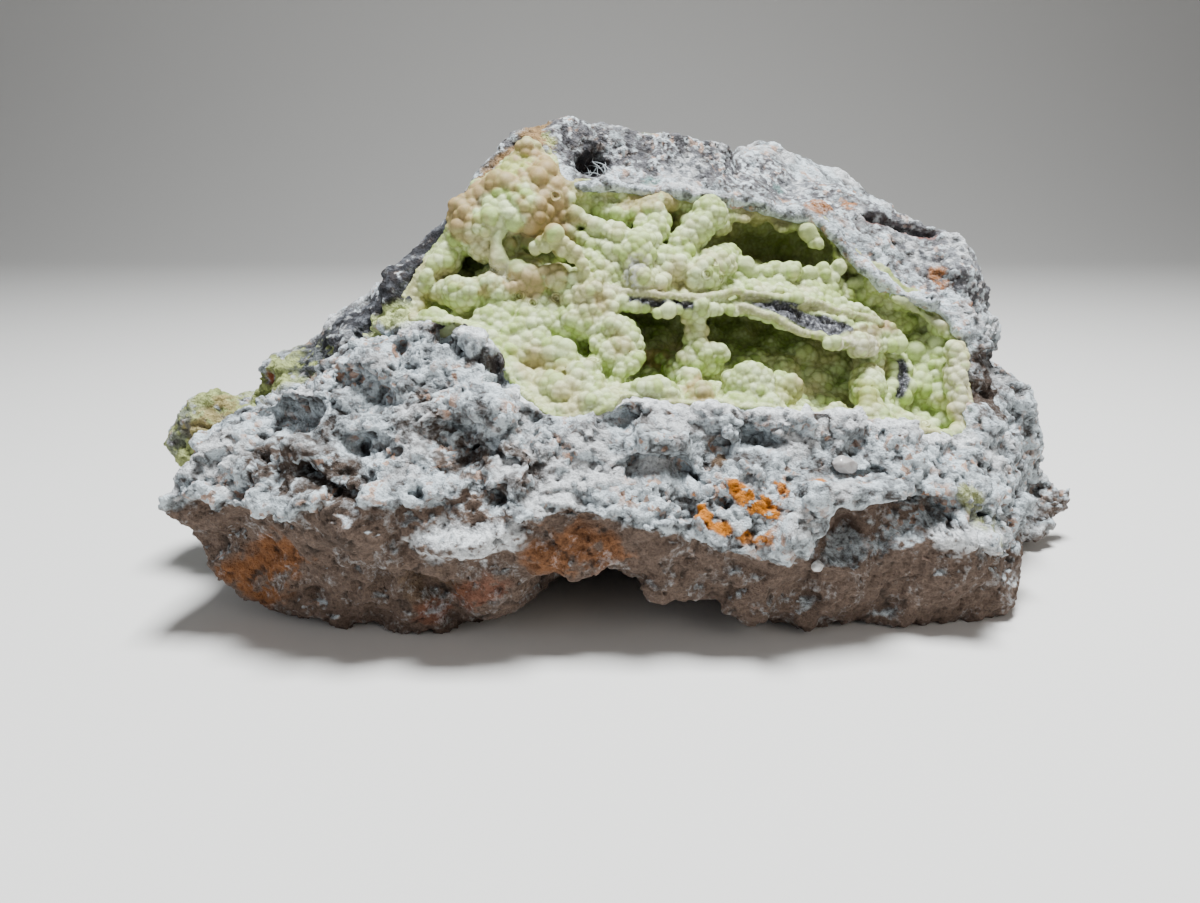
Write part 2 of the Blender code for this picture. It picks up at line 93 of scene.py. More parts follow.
def feed(tree: bpy.types.NodeTree, node: bpy.types.Node, inputs: dict[str | int, Any]) -> None:
    """Sets and links a node's inputs.

    Args:
        tree: The node tree it stands in.
        node: The node.
        inputs: Input name or number to a value, or to the socket that feeds it.
    """
    for name, value in inputs.items():
        if isinstance(value, bpy.types.NodeSocket):
            tree.links.new(value, node.inputs[name])
        else:
            node.inputs[name].default_value = value


def add_node(
    tree: bpy.types.NodeTree,
    kind: str,
    inputs: dict[str | int, Any] | None = None,
    stops: Sequence[tuple[float, Any]] | None = None,
    **settings: Any,
) -> bpy.types.Node:
    """Adds a node with its settings, values and links.

    Args:
        tree: The node tree it goes into.
        kind: Blender's name for the node's type.
        inputs: As feed takes them.
        stops: For a colour ramp, positions and their colours.
        **settings: Properties of the node.

    Returns:
        The new node.
    """
    node = tree.nodes.new(kind)
    for name, value in settings.items():
        setattr(node, name, value)
    feed(tree, node, inputs or {})
    if stops:
        elements = node.color_ramp.elements
        while len(elements) < len(stops):
            elements.new(1.0)
        for element, (position, colour) in zip(elements, stops):
            element.position = position
            element.color = (*colour, 1.0) if len(colour) == 3 else colour
    return node


def grey(value: float) -> tuple[float, float, float]:
    """A neutral colour for a ramp that drives a number."""
    return (value, value, value)


@dataclass(frozen=True)
class Finish:
    """What a surface is made of: the part that every finish shares."""

    name: str

    def dress(self, tree: bpy.types.NodeTree, shader: bpy.types.Node) -> None:
        """Adds this finish's own nodes to the tree.

        Args:
            tree: The material's node tree.
            shader: Its Principled shader.
        """
        raise NotImplementedError

    def material(self) -> bpy.types.Material:
        """Builds the material, or finds it if it was built before.

        Returns:
            The material.
        """
        found = bpy.data.materials.get(self.name)
        if found:
            return found
        material = bpy.data.materials.new(self.name)
        material.use_nodes = True
        self.dress(material.node_tree, material.node_tree.nodes["Principled BSDF"])
        return material


def per_metre(size_mm: float) -> float:
    """The scale of a noise texture whose features are this many millimetres across."""
    return 1.0 / (size_mm * MM)


@dataclass(frozen=True)
class SiliceousRock(Finish):
    """Weathered siliceous breccia: broken and leached, so chalky white grains stand in a grey-brown
    ground, dead matt, with pink and orange iron-stained grains, and the holes darkened by dirt and
    painted shade."""

    chalk: str = "CFD9DE"
    pale: str = "8F9598"
    ground: str = "4C4846"
    dirt_and_shade: str = "25211E"
    # Near-black for the hollows between crumbs: dirt and painted shade.
    blush: str = "B98B6C"
    patch_mm: float = 7.0
    grain_mm: float = 1.1
    grit_mm: float = 0.45
    relief_mm: float = 0.45
    ground_pale_chalk: tuple[float, float, float] = (0.40, 0.53, 0.66)
    rosy_patches: tuple[float, float, float] = (0.48, 0.62, 0.75)
    rosy_grains: float = 0.7
    stain_edge: tuple[float, float] = (0.08, 0.75)
    dirt_and_shade_share: float = 0.8
    roughness: float = 0.92
    specular: float = 0.25

    def dress(self, tree: bpy.types.NodeTree, shader: bpy.types.Node) -> None:
        """Mixes chalk, ground, blush, stains, and dirt with painted shade in the hollows, and adds grit.

        Args:
            tree: The material's node tree.
            shader: Its Principled shader.
        """
        place = add_node(tree, "ShaderNodeTexCoord").outputs["Object"]
        patches, grains, grit = (
            add_node(tree, "ShaderNodeTexNoise", {"Vector": place, "Scale": per_metre(size), "Detail": detail,
                                                  "Roughness": rough})
            for size, detail, rough in (
                (self.patch_mm, 4.0, 0.6), (self.grain_mm, 3.0, 0.7), (self.grit_mm, 2.0, 0.6)))
        specks = add_node(tree, "ShaderNodeTexVoronoi", {"Vector": place, "Scale": per_metre(self.grain_mm)})
        tone, hollow, stain = (add_node(tree, "ShaderNodeAttribute", attribute_name=name)
                               for name in ("tone", "hollow", "stain"))
        mixed = add_node(tree, "ShaderNodeMath", {0: patches.outputs["Fac"], 1: grains.outputs["Fac"]},
                         operation="ADD")
        mixed = add_node(tree, "ShaderNodeMath", {0: tone.outputs["Fac"], 1: 0.9, 2: mixed.outputs[0]},
                         operation="MULTIPLY_ADD")
        mixed = add_node(tree, "ShaderNodeMath", {0: mixed.outputs[0], 1: 0.4}, operation="MULTIPLY")
        tones = [linear(colour) for colour in (self.ground, self.pale, self.chalk)]
        base = add_node(tree, "ShaderNodeValToRGB", {"Fac": mixed.outputs[0]},
                        stops=tuple(zip(self.ground_pale_chalk, tones)))
        number = add_node(tree, "ShaderNodeSeparateColor", {0: specks.outputs["Color"]}).outputs[0]
        blushed = add_node(tree, "ShaderNodeMath", {0: number, 1: self.rosy_grains}, operation="GREATER_THAN")
        low, high, most = self.rosy_patches
        rosy = add_node(tree, "ShaderNodeMapRange", {0: patches.outputs["Fac"], 1: low, 2: high, 4: most})
        blush = add_node(tree, "ShaderNodeMath", {0: blushed.outputs[0], 1: rosy.outputs[0]},
                         operation="MULTIPLY")
        colour = add_node(tree, "ShaderNodeMix", {0: blush.outputs[0], 6: base.outputs[0],
                                                 7: (*linear(self.blush), 1)}, data_type="RGBA")
        edge = add_node(tree, "ShaderNodeMath", {0: grains.outputs["Fac"], 1: -0.9, 2: 0.45},
                        operation="MULTIPLY_ADD")
        spread = add_node(tree, "ShaderNodeMath", {0: stain.outputs["Alpha"], 1: edge.outputs[0]},
                          operation="ADD", use_clamp=True)
        low, high = self.stain_edge
        cover = add_node(tree, "ShaderNodeMapRange", {0: spread.outputs[0], 1: low, 2: high})
        mottle = add_node(tree, "ShaderNodeValToRGB", {"Fac": grains.outputs["Fac"]},
                          stops=((0.3, grey(0.6)), (0.7, grey(1.25))))
        mottled = add_node(tree, "ShaderNodeMix", {0: 1.0, 6: stain.outputs["Color"], 7: mottle.outputs[0]},
                           data_type="RGBA", blend_type="MULTIPLY")
        colour = add_node(tree, "ShaderNodeMix", {0: cover.outputs[0], 6: colour.outputs[2],
                                                 7: mottled.outputs[2]}, data_type="RGBA")
        speckle = add_node(tree, "ShaderNodeValToRGB", {"Fac": grit.outputs["Fac"]},
                           stops=((0.3, grey(0.55)), (0.46, grey(0.95)), (0.7, grey(1.1))))
        colour = add_node(tree, "ShaderNodeMix", {0: 0.85, 6: colour.outputs[2], 7: speckle.outputs[0]},
                          data_type="RGBA", blend_type="MULTIPLY")
        # Darkens the hollows towards near-black: dirt and painted shade.
        dirt_and_shade_mix = add_node(tree, "ShaderNodeMath", {0: hollow.outputs["Fac"], 1: self.dirt_and_shade_share},
                         operation="MULTIPLY", use_clamp=True)
        colour = add_node(tree, "ShaderNodeMix", {0: dirt_and_shade_mix.outputs[0], 6: colour.outputs[2],
                                                 7: (*linear(self.dirt_and_shade), 1)}, data_type="RGBA")
        bumps = add_node(tree, "ShaderNodeMath", {0: grains.outputs["Fac"], 1: 1.4, 2: grit.outputs["Fac"]},
                         operation="MULTIPLY_ADD")
        bump = add_node(tree, "ShaderNodeBump", {"Height": bumps.outputs[0], "Strength": 0.9,
                                                "Distance": self.relief_mm * MM})
        feed(tree, shader, {"Base Color": colour.outputs[2], "Normal": bump.outputs[0],
                            "Roughness": self.roughness, "Specular IOR Level": self.specular})


@dataclass(frozen=True)
class WavelliteSkin(Finish):
    """Botryoidal wavellite, a hydrous aluminium phosphate: fine radiating fibres under a smooth grown
    skin give pale lime balls with a soft waxy light and a little light inside them. The crevices and
    the deep vug are darkened to olive: partly their own colour, partly painted shade."""

    lime: str = "A3B967"
    cream: str = "CDDAA6"
    beige: str = "BBA67C"
    # Olive for the crevices and the deep vug: partly their own colour, partly painted shade.
    crevice: str = "74723B"
    olive: str = "6F6A2E"
    gravel: tuple[str, str, str] = ("1F1E20", "47474D", "9B9DA2")
    patch_mm: float = 9.0
    bloom_mm: float = 0.7
    ring_mm: float = 0.55
    ring_reach_mm: float = 2.2
    relief_mm: float = 0.2
    aged_patches: tuple[float, float, float] = (0.5, 0.66, 0.55)
    roughness: float = 0.62
    specular: float = 0.35
    ior: float = 1.53
    glow: float = 0.05
    glow_mm: float = 0.6
    glow_reach: tuple[float, float, float] = (0.9, 0.8, 0.45)

    def dress(self, tree: bpy.types.NodeTree, shader: bpy.types.Node) -> None:
        """Mixes lime and cream from ball to ball, adds stains, rings and bare rock, and darkens the crevices
        and the deep vug with olive that is partly painted shade.

        Args:
            tree: The material's node tree.
            shader: Its Principled shader.
        """
        place = add_node(tree, "ShaderNodeTexCoord").outputs["Object"]
        patches = add_node(tree, "ShaderNodeTexNoise", {"Vector": place, "Scale": per_metre(self.patch_mm),
                                                       "Detail": 2.0})
        bloom = add_node(tree, "ShaderNodeTexNoise", {"Vector": place, "Scale": per_metre(self.bloom_mm),
                                                     "Detail": 3.0, "Roughness": 0.65})
        read = {name: add_node(tree, "ShaderNodeAttribute", attribute_name=name)
                for name in ("tone", "crevice", "depth", "core", "ring", "stain")}
        shade = add_node(tree, "ShaderNodeMath", {0: read["tone"].outputs["Fac"], 1: 0.6,
                                                 2: patches.outputs["Fac"]}, operation="MULTIPLY_ADD")
        colour = add_node(tree, "ShaderNodeValToRGB", {"Fac": shade.outputs[0]},
                          stops=((0.45, linear(self.lime)), (1.0, linear(self.cream))))
        low, high, most = self.aged_patches
        aged = add_node(tree, "ShaderNodeMapRange", {0: patches.outputs["Fac"], 1: low, 2: high, 4: most})
        colour = add_node(tree, "ShaderNodeMix", {0: aged.outputs[0], 6: colour.outputs[0],
                                                 7: (*linear(self.beige), 1)}, data_type="RGBA")
        out = add_node(tree, "ShaderNodeMix", {0: read["stain"].outputs["Alpha"], 6: colour.outputs[2],
                                              7: read["stain"].outputs["Color"]}, data_type="RGBA").outputs[2]
        ring = read["ring"].outputs["Fac"]
        waves = add_node(tree, "ShaderNodeMath", {0: ring, 1: 2 * math.pi / self.ring_mm},
                         operation="MULTIPLY")
        waves = add_node(tree, "ShaderNodeMath", {0: waves.outputs[0]}, operation="SINE")
        lines = add_node(tree, "ShaderNodeMapRange", {0: waves.outputs[0], 1: -0.2, 2: 1.0})
        within = add_node(tree, "ShaderNodeMath", {0: ring, 1: self.ring_reach_mm}, operation="LESS_THAN")
        ringed = add_node(tree, "ShaderNodeMath", {0: lines.outputs[0], 1: within.outputs[0]},
                          operation="MULTIPLY")
        # Darker olive deep in the vug and in the crevices: partly their own colour, partly painted shade.
        layers = (
            (read["depth"].outputs["Fac"], self.olive, 0.5),
            (read["crevice"].outputs["Fac"], self.crevice, 0.5),
            (ringed.outputs[0], self.crevice, 0.7),
        )
        for share, hex_colour, most in layers:
            part = add_node(tree, "ShaderNodeMath", {0: share, 1: most}, operation="MULTIPLY")
            out = add_node(tree, "ShaderNodeMix", {0: part.outputs[0], 6: out,
                                                  7: (*linear(hex_colour), 1)}, data_type="RGBA").outputs[2]
        gravel = add_node(tree, "ShaderNodeValToRGB", {"Fac": bloom.outputs["Fac"]},
                          stops=tuple(zip((0.36, 0.54, 0.72), [linear(tone) for tone in self.gravel])))
        out = add_node(tree, "ShaderNodeMix", {0: read["core"].outputs["Fac"], 6: out, 7: gravel.outputs[0]},
                       data_type="RGBA").outputs[2]
        fine = add_node(tree, "ShaderNodeValToRGB", {"Fac": bloom.outputs["Fac"]},
                        stops=((0.3, grey(0.84)), (0.7, grey(1.08))))
        out = add_node(tree, "ShaderNodeMix", {0: 1.0, 6: out, 7: fine.outputs[0]},
                       data_type="RGBA", blend_type="MULTIPLY").outputs[2]
        height = add_node(tree, "ShaderNodeMath", {0: ringed.outputs[0], 1: -0.8, 2: bloom.outputs["Fac"]},
                          operation="MULTIPLY_ADD")
        bump = add_node(tree, "ShaderNodeBump", {"Height": height.outputs[0], "Strength": 0.5,
                                                "Distance": self.relief_mm * MM})
        feed(tree, shader, {"Base Color": out, "Normal": bump.outputs[0], "Roughness": self.roughness,
                            "IOR": self.ior, "Specular IOR Level": self.specular,
                            "Subsurface Weight": self.glow, "Subsurface Radius": self.glow_reach,
                            "Subsurface Scale": self.glow_mm * MM})


@dataclass(frozen=True)
class MilkyQuartz(Finish):
    """Milky vein quartz: clear silica clouded by tiny fractures, so a grey-white, glassy grain with light
    inside it."""

    milk: str
    roughness: float = 0.22
    clear: str = "9D9794"
    cloud_mm: float = 1.6
    ior: float = 1.544
    glow: float = 0.35
    glow_mm: float = 1.5
    glow_reach: tuple[float, float, float] = (1.0, 0.95, 0.9)

    def dress(self, tree: bpy.types.NodeTree, shader: bpy.types.Node) -> None:
        """Clouds the glass and lets light into it.

        Args:
            tree: The material's node tree.
            shader: Its Principled shader.
        """
        place = add_node(tree, "ShaderNodeTexCoord").outputs["Object"]
        clouds = add_node(tree, "ShaderNodeTexNoise", {"Vector": place, "Scale": per_metre(self.cloud_mm),
                                                      "Detail": 3.0})
        tint = add_node(tree, "ShaderNodeValToRGB", {"Fac": clouds.outputs["Fac"]},
                        stops=((0.35, linear(self.clear)), (0.65, linear(self.milk))))
        feed(tree, shader, {"Base Color": tint.outputs[0], "Roughness": self.roughness, "IOR": self.ior,
                            "Subsurface Weight": self.glow, "Subsurface Radius": self.glow_reach,
                            "Subsurface Scale": self.glow_mm * MM})


@dataclass(frozen=True)
class SilkyFibre(Finish):
    """Wavellite grown as loose threads instead of balls: fine parallel fibres, so pale and silky."""

    silk: str = "8D9495"
    roughness: float = 0.5
    sheen: float = 0.3

    def dress(self, tree: bpy.types.NodeTree, shader: bpy.types.Node) -> None:
        """Colours the threads.

        Args:
            tree: The material's node tree.
            shader: Its Principled shader.
        """
        feed(tree, shader, {"Base Color": (*linear(self.silk), 1), "Roughness": self.roughness,
                            "Sheen Weight": self.sheen})


@dataclass(frozen=True)
class StudioPaper(Finish):
    """Rolled photographic paper: matt and even, so it shows soft shadows and no texture."""

    white: str = "D9D7D3"
    roughness: float = 0.95

    def dress(self, tree: bpy.types.NodeTree, shader: bpy.types.Node) -> None:
        """Colours the paper.

        Args:
            tree: The material's node tree.
            shader: Its Principled shader.
        """
        feed(tree, shader, {"Base Color": (*linear(self.white), 1), "Roughness": self.roughness})


# ---- patterns worked out in code


def lattice(cells: np.ndarray, seed: int) -> np.ndarray:
    """A fixed number from 0 to 1 for each whole-number cell.

    Args:
        cells: Whole numbers, three to a row.
        seed: Picks one of many patterns.

    Returns:
        One number to a row.
    """
    mixed = cells[..., 0] * 374761393 + cells[..., 1] * 668265263 + cells[..., 2] * 1103515245 + seed * 97531
    mixed = ((mixed ^ (mixed >> 13)) * 1274126177) & 0xFFFFFFFF
    mixed = ((mixed ^ (mixed >> 16)) * 1597334677) & 0xFFFFFFFF
    return (mixed ^ (mixed >> 15)) / 4294967296.0


def soft_noise(points: np.ndarray, size: float, seed: int) -> np.ndarray:
    """Smooth noise from -1 to 1.

    Args:
        points: Places in mm, one to a row.
        size: Size of its features in mm.
        seed: Picks one of many patterns.

    Returns:
        One number to a point.
    """
    scaled = points / size
    corner = np.floor(scaled).astype(np.int64)
    part = scaled - corner
    part = part * part * (3 - 2 * part)
    total = np.zeros(len(points))
    for step in itertools.product((0, 1), repeat=3):
        weight = np.prod(np.where(np.array(step) == 1, part, 1 - part), axis=1)
        total += weight * lattice(corner + np.array(step), seed)
    return 2 * total - 1


def soft_drift(points: np.ndarray, size: float, seed: int) -> np.ndarray:
    """Smooth noise from -1 to 1 in each direction, three numbers to a point."""
    return np.stack([soft_noise(points, size, seed + i) for i in range(3)], axis=1)


def layered_noise(points: np.ndarray, size: float, seed: int, layers: int = 3) -> np.ndarray:
    """Noise of several sizes, each half as large and half as strong as the one before.

    Args:
        points: Places in mm, one to a row.
        size: Size of its largest features in mm.
        seed: Picks one of many patterns.
        layers: How many sizes it has.

    Returns:
        One number to a point, mostly from -1 to 1.
    """
    return sum(soft_noise(points, size / 2**i, seed + i) / 2**i for i in range(layers))


def grains(points: np.ndarray, size: float, seed: int) -> tuple[np.ndarray, ...]:
    """Packs space with irregular grains.

    Args:
        points: Places in mm, one to a row.
        size: Size of a grain in mm.
        seed: Picks one of many patterns.

    Returns:
        For each point the distance to its grain's middle and to the next grain's, in grain sizes, its
        grain's own number from 0 to 1, and its place in the grain.
    """
    scaled = points / size
    home = np.floor(scaled).astype(np.int64)
    near = np.full(len(points), 9.0)
    after = near.copy()
    own = np.zeros(len(points))
    within = np.zeros(points.shape)
    for step in itertools.product((-1, 0, 1), repeat=3):
        cell = home + np.array(step)
        number = lattice(cell, seed)
        middle = cell + np.stack((number, (number * 1021) % 1, (number * 1045678) % 1), axis=1)
        offset = scaled - middle
        distance = np.linalg.norm(offset, axis=1)
        closer = distance < near
        after = np.where(closer, near, np.minimum(after, distance))
        own = np.where(closer, (number * 7919) % 1, own)
        within = np.where(closer[:, None], offset, within)
        near = np.where(closer, distance, near)
    return near, after, own, within


def domed(near: np.ndarray) -> np.ndarray:
    """The rounded top of a grain, from 1 at its middle to 0 at its edge."""
    return np.sqrt(np.clip(1 - (near / 0.85) ** 2, 0, 1))


def smooth_step(values: np.ndarray, low: float, high: float) -> np.ndarray:
    """Rises smoothly from 0 at low to 1 at high."""
    part = np.clip((values - low) / (high - low), 0, 1)
    return part * part * (3 - 2 * part)


def distance_to_path(points: np.ndarray, path: Sequence[Point]) -> np.ndarray:
    """Distance from each point to a path of straight runs.

    Args:
        points: Places in mm, one to a row.
        path: One place or more.

    Returns:
        One distance in mm to a point.
    """
    corners = np.array(path, float)
    best = np.linalg.norm(points - corners[0], axis=1)
    for start, end in zip(corners, corners[1:]):
        along = end - start
        part = np.clip((points - start) @ along / (along @ along), 0, 1)
        best = np.minimum(best, np.linalg.norm(points - start - part[:, None] * along, axis=1))
    return best


# ---- meshes and operators


def vectors_of(items: bpy.types.bpy_prop_collection, name: str) -> np.ndarray:
    """The vector of this name on each vertex or face of a mesh, one to a row."""
    values = np.empty(len(items) * 3, np.float32)
    items.foreach_get(name, values)
    return values.reshape(-1, 3)


def points_of(obj: bpy.types.Object) -> np.ndarray:
    """An object's vertices in mm, one to a row."""
    return vectors_of(obj.data.vertices, "co").astype(float) / MM


def move_points(obj: bpy.types.Object, points: np.ndarray) -> None:
    """Puts an object's vertices at these places in mm."""
    obj.data.vertices.foreach_set("co", (points * MM).astype(np.float32).ravel())
    obj.data.update()


def outward_of(obj: bpy.types.Object) -> np.ndarray:
    """An object's vertex normals, one to a row."""
    return vectors_of(obj.data.vertex_normals, "vector").astype(float)


def write_values(obj: bpy.types.Object, name: str, values: np.ndarray) -> None:
    """Keeps numbers, directions or colours on an object's vertices as a named attribute.

    Args:
        obj: The object.
        name: The attribute's name.
        values: One row to a vertex: a number, three for a direction or four for a colour.
    """
    kind, key = {1: ("FLOAT", "value"), 3: ("FLOAT_VECTOR", "vector"), 4: ("FLOAT_COLOR", "color")}[
        1 if values.ndim == 1 else values.shape[1]
    ]
    attribute = obj.data.attributes.get(name) or obj.data.attributes.new(name, kind, "POINT")
    attribute.data.foreach_set(key, values.astype(np.float32).ravel())


def pick(*objs: bpy.types.Object) -> None:
    """Makes these objects the only selected ones and the first the active one."""
    bpy.ops.object.select_all(action="DESELECT")
    for obj in objs:
        obj.select_set(True)
    bpy.context.view_layer.objects.active = objs[0]


@contextmanager
def editing(obj: bpy.types.Object) -> Iterator[None]:
    """Holds an object in edit mode as the only selected one."""
    pick(obj)
    bpy.ops.object.mode_set(mode="EDIT")
    yield
    bpy.ops.object.mode_set(mode="OBJECT")


def modified(obj: bpy.types.Object, kind: str, **settings: Any) -> bpy.types.Object:
    """Adds a modifier, sets it and applies it.

    Args:
        obj: The object.
        kind: Blender's name for the modifier's type.
        **settings: Properties of the modifier.

    Returns:
        The same object.
    """
    pick(obj)
    bpy.ops.object.modifier_add(type=kind)
    modifier = obj.modifiers[-1]
    for name, value in settings.items():
        setattr(modifier, name, value)
    bpy.ops.object.modifier_apply(modifier=modifier.name)
    return obj


def fused(obj: bpy.types.Object, voxel: float) -> bpy.types.Object:
    """Fuses what an object holds into one skin of even squares, by a voxel in mm."""
    return modified(obj, "REMESH", mode="VOXEL", voxel_size=voxel * MM)


def copy_of_node(name: str, node: str) -> bpy.types.Object:
    """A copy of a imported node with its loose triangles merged.

    Args:
        name: The copy's name.
        node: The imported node's name.

    Returns:
        The copy.
    """
    obj = bpy.data.objects.new(name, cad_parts[node].data.copy())
    bpy.context.scene.collection.objects.link(obj)
    with editing(obj):
        bpy.ops.mesh.select_all(action="SELECT")
        bpy.ops.mesh.remove_doubles(threshold=0.001 * MM)
    return obj


def copied(obj: bpy.types.Object, name: str) -> bpy.types.Object:
    """A second object with its own copy of the mesh."""
    twin = bpy.data.objects.new(name, obj.data.copy())
    bpy.context.scene.collection.objects.link(twin)
    return twin


def joined(name: str, parts: Sequence[bpy.types.Object]) -> bpy.types.Object:
    """Joins objects into one.

    Args:
        name: Its name.
        parts: The objects, which are used up.

    Returns:
        The joined object.
    """
    pick(*parts)
    if len(parts) > 1:
        bpy.ops.object.join()
    parts[0].name = parts[0].data.name = name
    return parts[0]


def tree_of(obj: bpy.types.Object) -> BVHTree:
    """A search tree of an object's faces."""
    faces = [tuple(face.vertices) for face in obj.data.polygons]
    return BVHTree.FromPolygons([vertex.co for vertex in obj.data.vertices], faces)


def places_tree(points: np.ndarray) -> KDTree:
    """A search tree of places, one to a row."""
    tree = KDTree(len(points))
    for index, point in enumerate(points):
        tree.insert(point, index)
    tree.balance()
    return tree


def covered(points: np.ndarray, outward: np.ndarray, tree: BVHTree, reach: float) -> np.ndarray:
    """Tells which points have a face straight in front of them.

    Args:
        points: Places in mm, one to a row.
        outward: The direction that each one faces.
        tree: The faces' search tree.
        reach: How far to look, in mm.

    Returns:
        True for each point that is covered.
    """
    starts = (points - 0.3 * outward) * MM
    hits = (tree.ray_cast(start, way, reach * MM)[0] for start, way in zip(starts, outward))
    return np.array([hit is not None for hit in hits])


def distance_to_faces(points: np.ndarray, tree: BVHTree, reach: float) -> np.ndarray:
    """Distance from each point to the nearest face.

    Args:
        points: Places in mm, one to a row.
        tree: The faces' search tree.
        reach: How far to look, in mm.

    Returns:
        One distance in mm to a point, and the reach where nothing is as near.
    """
    found = (tree.find_nearest(point, reach * MM)[3] for point in points * MM)
    return np.array([reach if distance is None else distance / MM for distance in found])


def balls(name: str, beads: np.ndarray) -> bpy.types.Object:
    """Balls in one mesh: one is modelled and the others repeat it.

    Args:
        name: The object's name.
        beads: Place and radius of each in mm, four numbers to a row.

    Returns:
        The object.
    """
    bpy.ops.object.select_all(action="DESELECT")
    bpy.ops.mesh.primitive_ico_sphere_add(subdivisions=2, radius=MM)
    ball = bpy.context.object
    corners = points_of(ball)
    faces = np.array([p.vertices for p in ball.data.polygons])
    bpy.data.objects.remove(ball)
    vertices = (beads[:, None, :3] + corners[None] * beads[:, None, 3:]).reshape(-1, 3)
    polygons = (faces[None] + (np.arange(len(beads)) * len(corners))[:, None, None]).reshape(-1, 3)
    mesh = bpy.data.meshes.new(name)
    mesh.vertices.add(len(vertices))
    mesh.loops.add(polygons.size)
    mesh.polygons.add(len(polygons))
    mesh.vertices.foreach_set("co", (vertices * MM).astype(np.float32).ravel())
    mesh.loops.foreach_set("vertex_index", polygons.ravel().astype(np.int32))
    mesh.polygons.foreach_set("loop_start", np.arange(0, polygons.size, 3, dtype=np.int32))
    mesh.update(calc_edges=True)
    obj = bpy.data.objects.new(name, mesh)
    bpy.context.scene.collection.objects.link(obj)
    return obj


def strung(beads: Sequence[Bead]) -> np.ndarray:
    """Fills the runs between beads with more beads, so that they fuse into an even stem.

    Args:
        beads: Place and radius of each, in mm.

    Returns:
        The beads, four numbers to a row.
    """
    rows = [np.array(beads[0], float)]
    for start, end in zip(beads, beads[1:]):
        start, end = np.array(start, float), np.array(end, float)
        steps = max(1, math.ceil(np.linalg.norm(end[:3] - start[:3]) / (0.4 * min(start[3], end[3]))))
        rows += [start + (end - start) * step / steps for step in range(1, steps + 1)]
    return np.array(rows)


def outside(points: np.ndarray, beads: Sequence[Bead]) -> np.ndarray:
    """Distance from each point to the skin of a stem of beads.

    Args:
        points: Places in mm, one to a row.
        beads: Place and radius of each, in mm.

    Returns:
        One distance in mm to a point, below 0 inside.
    """
    rows = np.array(beads, float)
    best = np.linalg.norm(points - rows[0, :3], axis=1) - rows[0, 3]
    for start, end in zip(rows, rows[1:]):
        along = end[:3] - start[:3]
        part = np.clip((points - start[:3]) @ along / (along @ along), 0, 1)
        middle = start[:3] + part[:, None] * along
        away = np.linalg.norm(points - middle, axis=1)
        best = np.minimum(best, away - start[3] - part * (end[3] - start[3]))
    return best


def parted(obj: bpy.types.Object, name: str, place: Point, side: Point, keep_far: bool) -> bpy.types.Object:
    """One side of an object, cut off along a plane and closed.

    Args:
        obj: The object, which is left whole.
        name: The new object's name.
        place: A point of the plane, in mm.
        side: The plane's direction.
        keep_far: Whether the side that the direction points to is kept.

    Returns:
        The part.
    """
    part = copied(obj, name)
    with editing(part):
        bpy.ops.mesh.select_all(action="SELECT")
        bpy.ops.mesh.bisect(
            plane_co=Vector(place) * MM, plane_no=side, clear_inner=keep_far, clear_outer=not keep_far)
        bpy.context.tool_settings.mesh_select_mode = (False, True, False)
        bpy.ops.mesh.select_all(action="DESELECT")
        bpy.ops.mesh.select_non_manifold(
            use_wire=False, use_boundary=True, use_multi_face=False, use_non_contiguous=False,
            use_verts=False)
        bpy.ops.mesh.fill(use_beauty=False)
    outwards = Vector(side) * (-1 if keep_far else 1)
    if sum(face.area * face.normal.dot(outwards) for face in part.data.polygons if face.select) < 0:
        with editing(part):
            bpy.ops.mesh.flip_normals()
    return part


def mended(obj: bpy.types.Object, widest: int = 40) -> bpy.types.Object:
    """Clears an object of stray edges and of faces that don't join two by two, and closes the small holes.

    Args:
        obj: The object.
        widest: How many edges the widest hole that is closed has.

    Returns:
        The same object.
    """
    with editing(obj):
        bpy.context.tool_settings.mesh_select_mode = (True, False, False)
        bpy.ops.mesh.select_all(action="DESELECT")
        bpy.ops.mesh.select_non_manifold(use_wire=False)
        bpy.ops.mesh.delete(type="VERT")
        bpy.ops.mesh.select_all(action="SELECT")
        bpy.ops.mesh.delete_loose()
        bpy.ops.mesh.select_all(action="SELECT")
        bpy.ops.mesh.fill_holes(sides=widest)
    return obj


def sliced(obj: bpy.types.Object, seams: Sequence[float]) -> list[bpy.types.Object]:
    """Cuts an object into closed pieces across X, and uses it up.

    Args:
        obj: The object.
        seams: Where it is cut, in mm, from left to right.

    Returns:
        Its pieces from left to right.
    """
    pieces = []
    obj = modified(obj, "TRIANGULATE")
    for index, seam in enumerate(seams):
        pieces.append(parted(obj, f"{obj.name}_{index + 1}", (seam, 0, 0), (1, 0, 0), False))
        rest = parted(obj, obj.name, (seam, 0, 0), (1, 0, 0), True)
        name = obj.name
        bpy.data.objects.remove(obj)
        rest.name = name
        obj = rest
    obj.name = f"{obj.name}_{len(seams) + 1}"
    return [mended(piece) for piece in (*pieces, obj)]


def shaded(obj: bpy.types.Object) -> bpy.types.Object:
    """Shades an object smooth by the directions kept in its outward attribute, so a cut leaves no seam.

    Args:
        obj: The object.

    Returns:
        The same object.
    """
    pick(obj)
    bpy.ops.object.shade_smooth()
    outward = vectors_of(obj.data.attributes["outward"].data, "vector")
    outward /= np.linalg.norm(outward, axis=1)[:, None]
    obj.data.normals_split_custom_set_from_vertices(outward.tolist())
    obj.data.attributes.remove(obj.data.attributes["outward"])
    return obj


def finished(obj: bpy.types.Object, finish: Finish, slot: str, *nodes: str) -> bpy.types.Object:
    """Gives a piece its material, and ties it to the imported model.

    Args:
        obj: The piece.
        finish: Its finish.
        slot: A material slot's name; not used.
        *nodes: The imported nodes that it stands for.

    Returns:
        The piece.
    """
    obj.data.materials.clear()
    obj.data.materials.append(finish.material())
    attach(obj, BODY)
    if nodes:
        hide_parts(*nodes)
    log.info("%s: %d triangles", obj.name, sum(len(p.vertices) - 2 for p in obj.data.polygons))
    return obj


# ---- stains


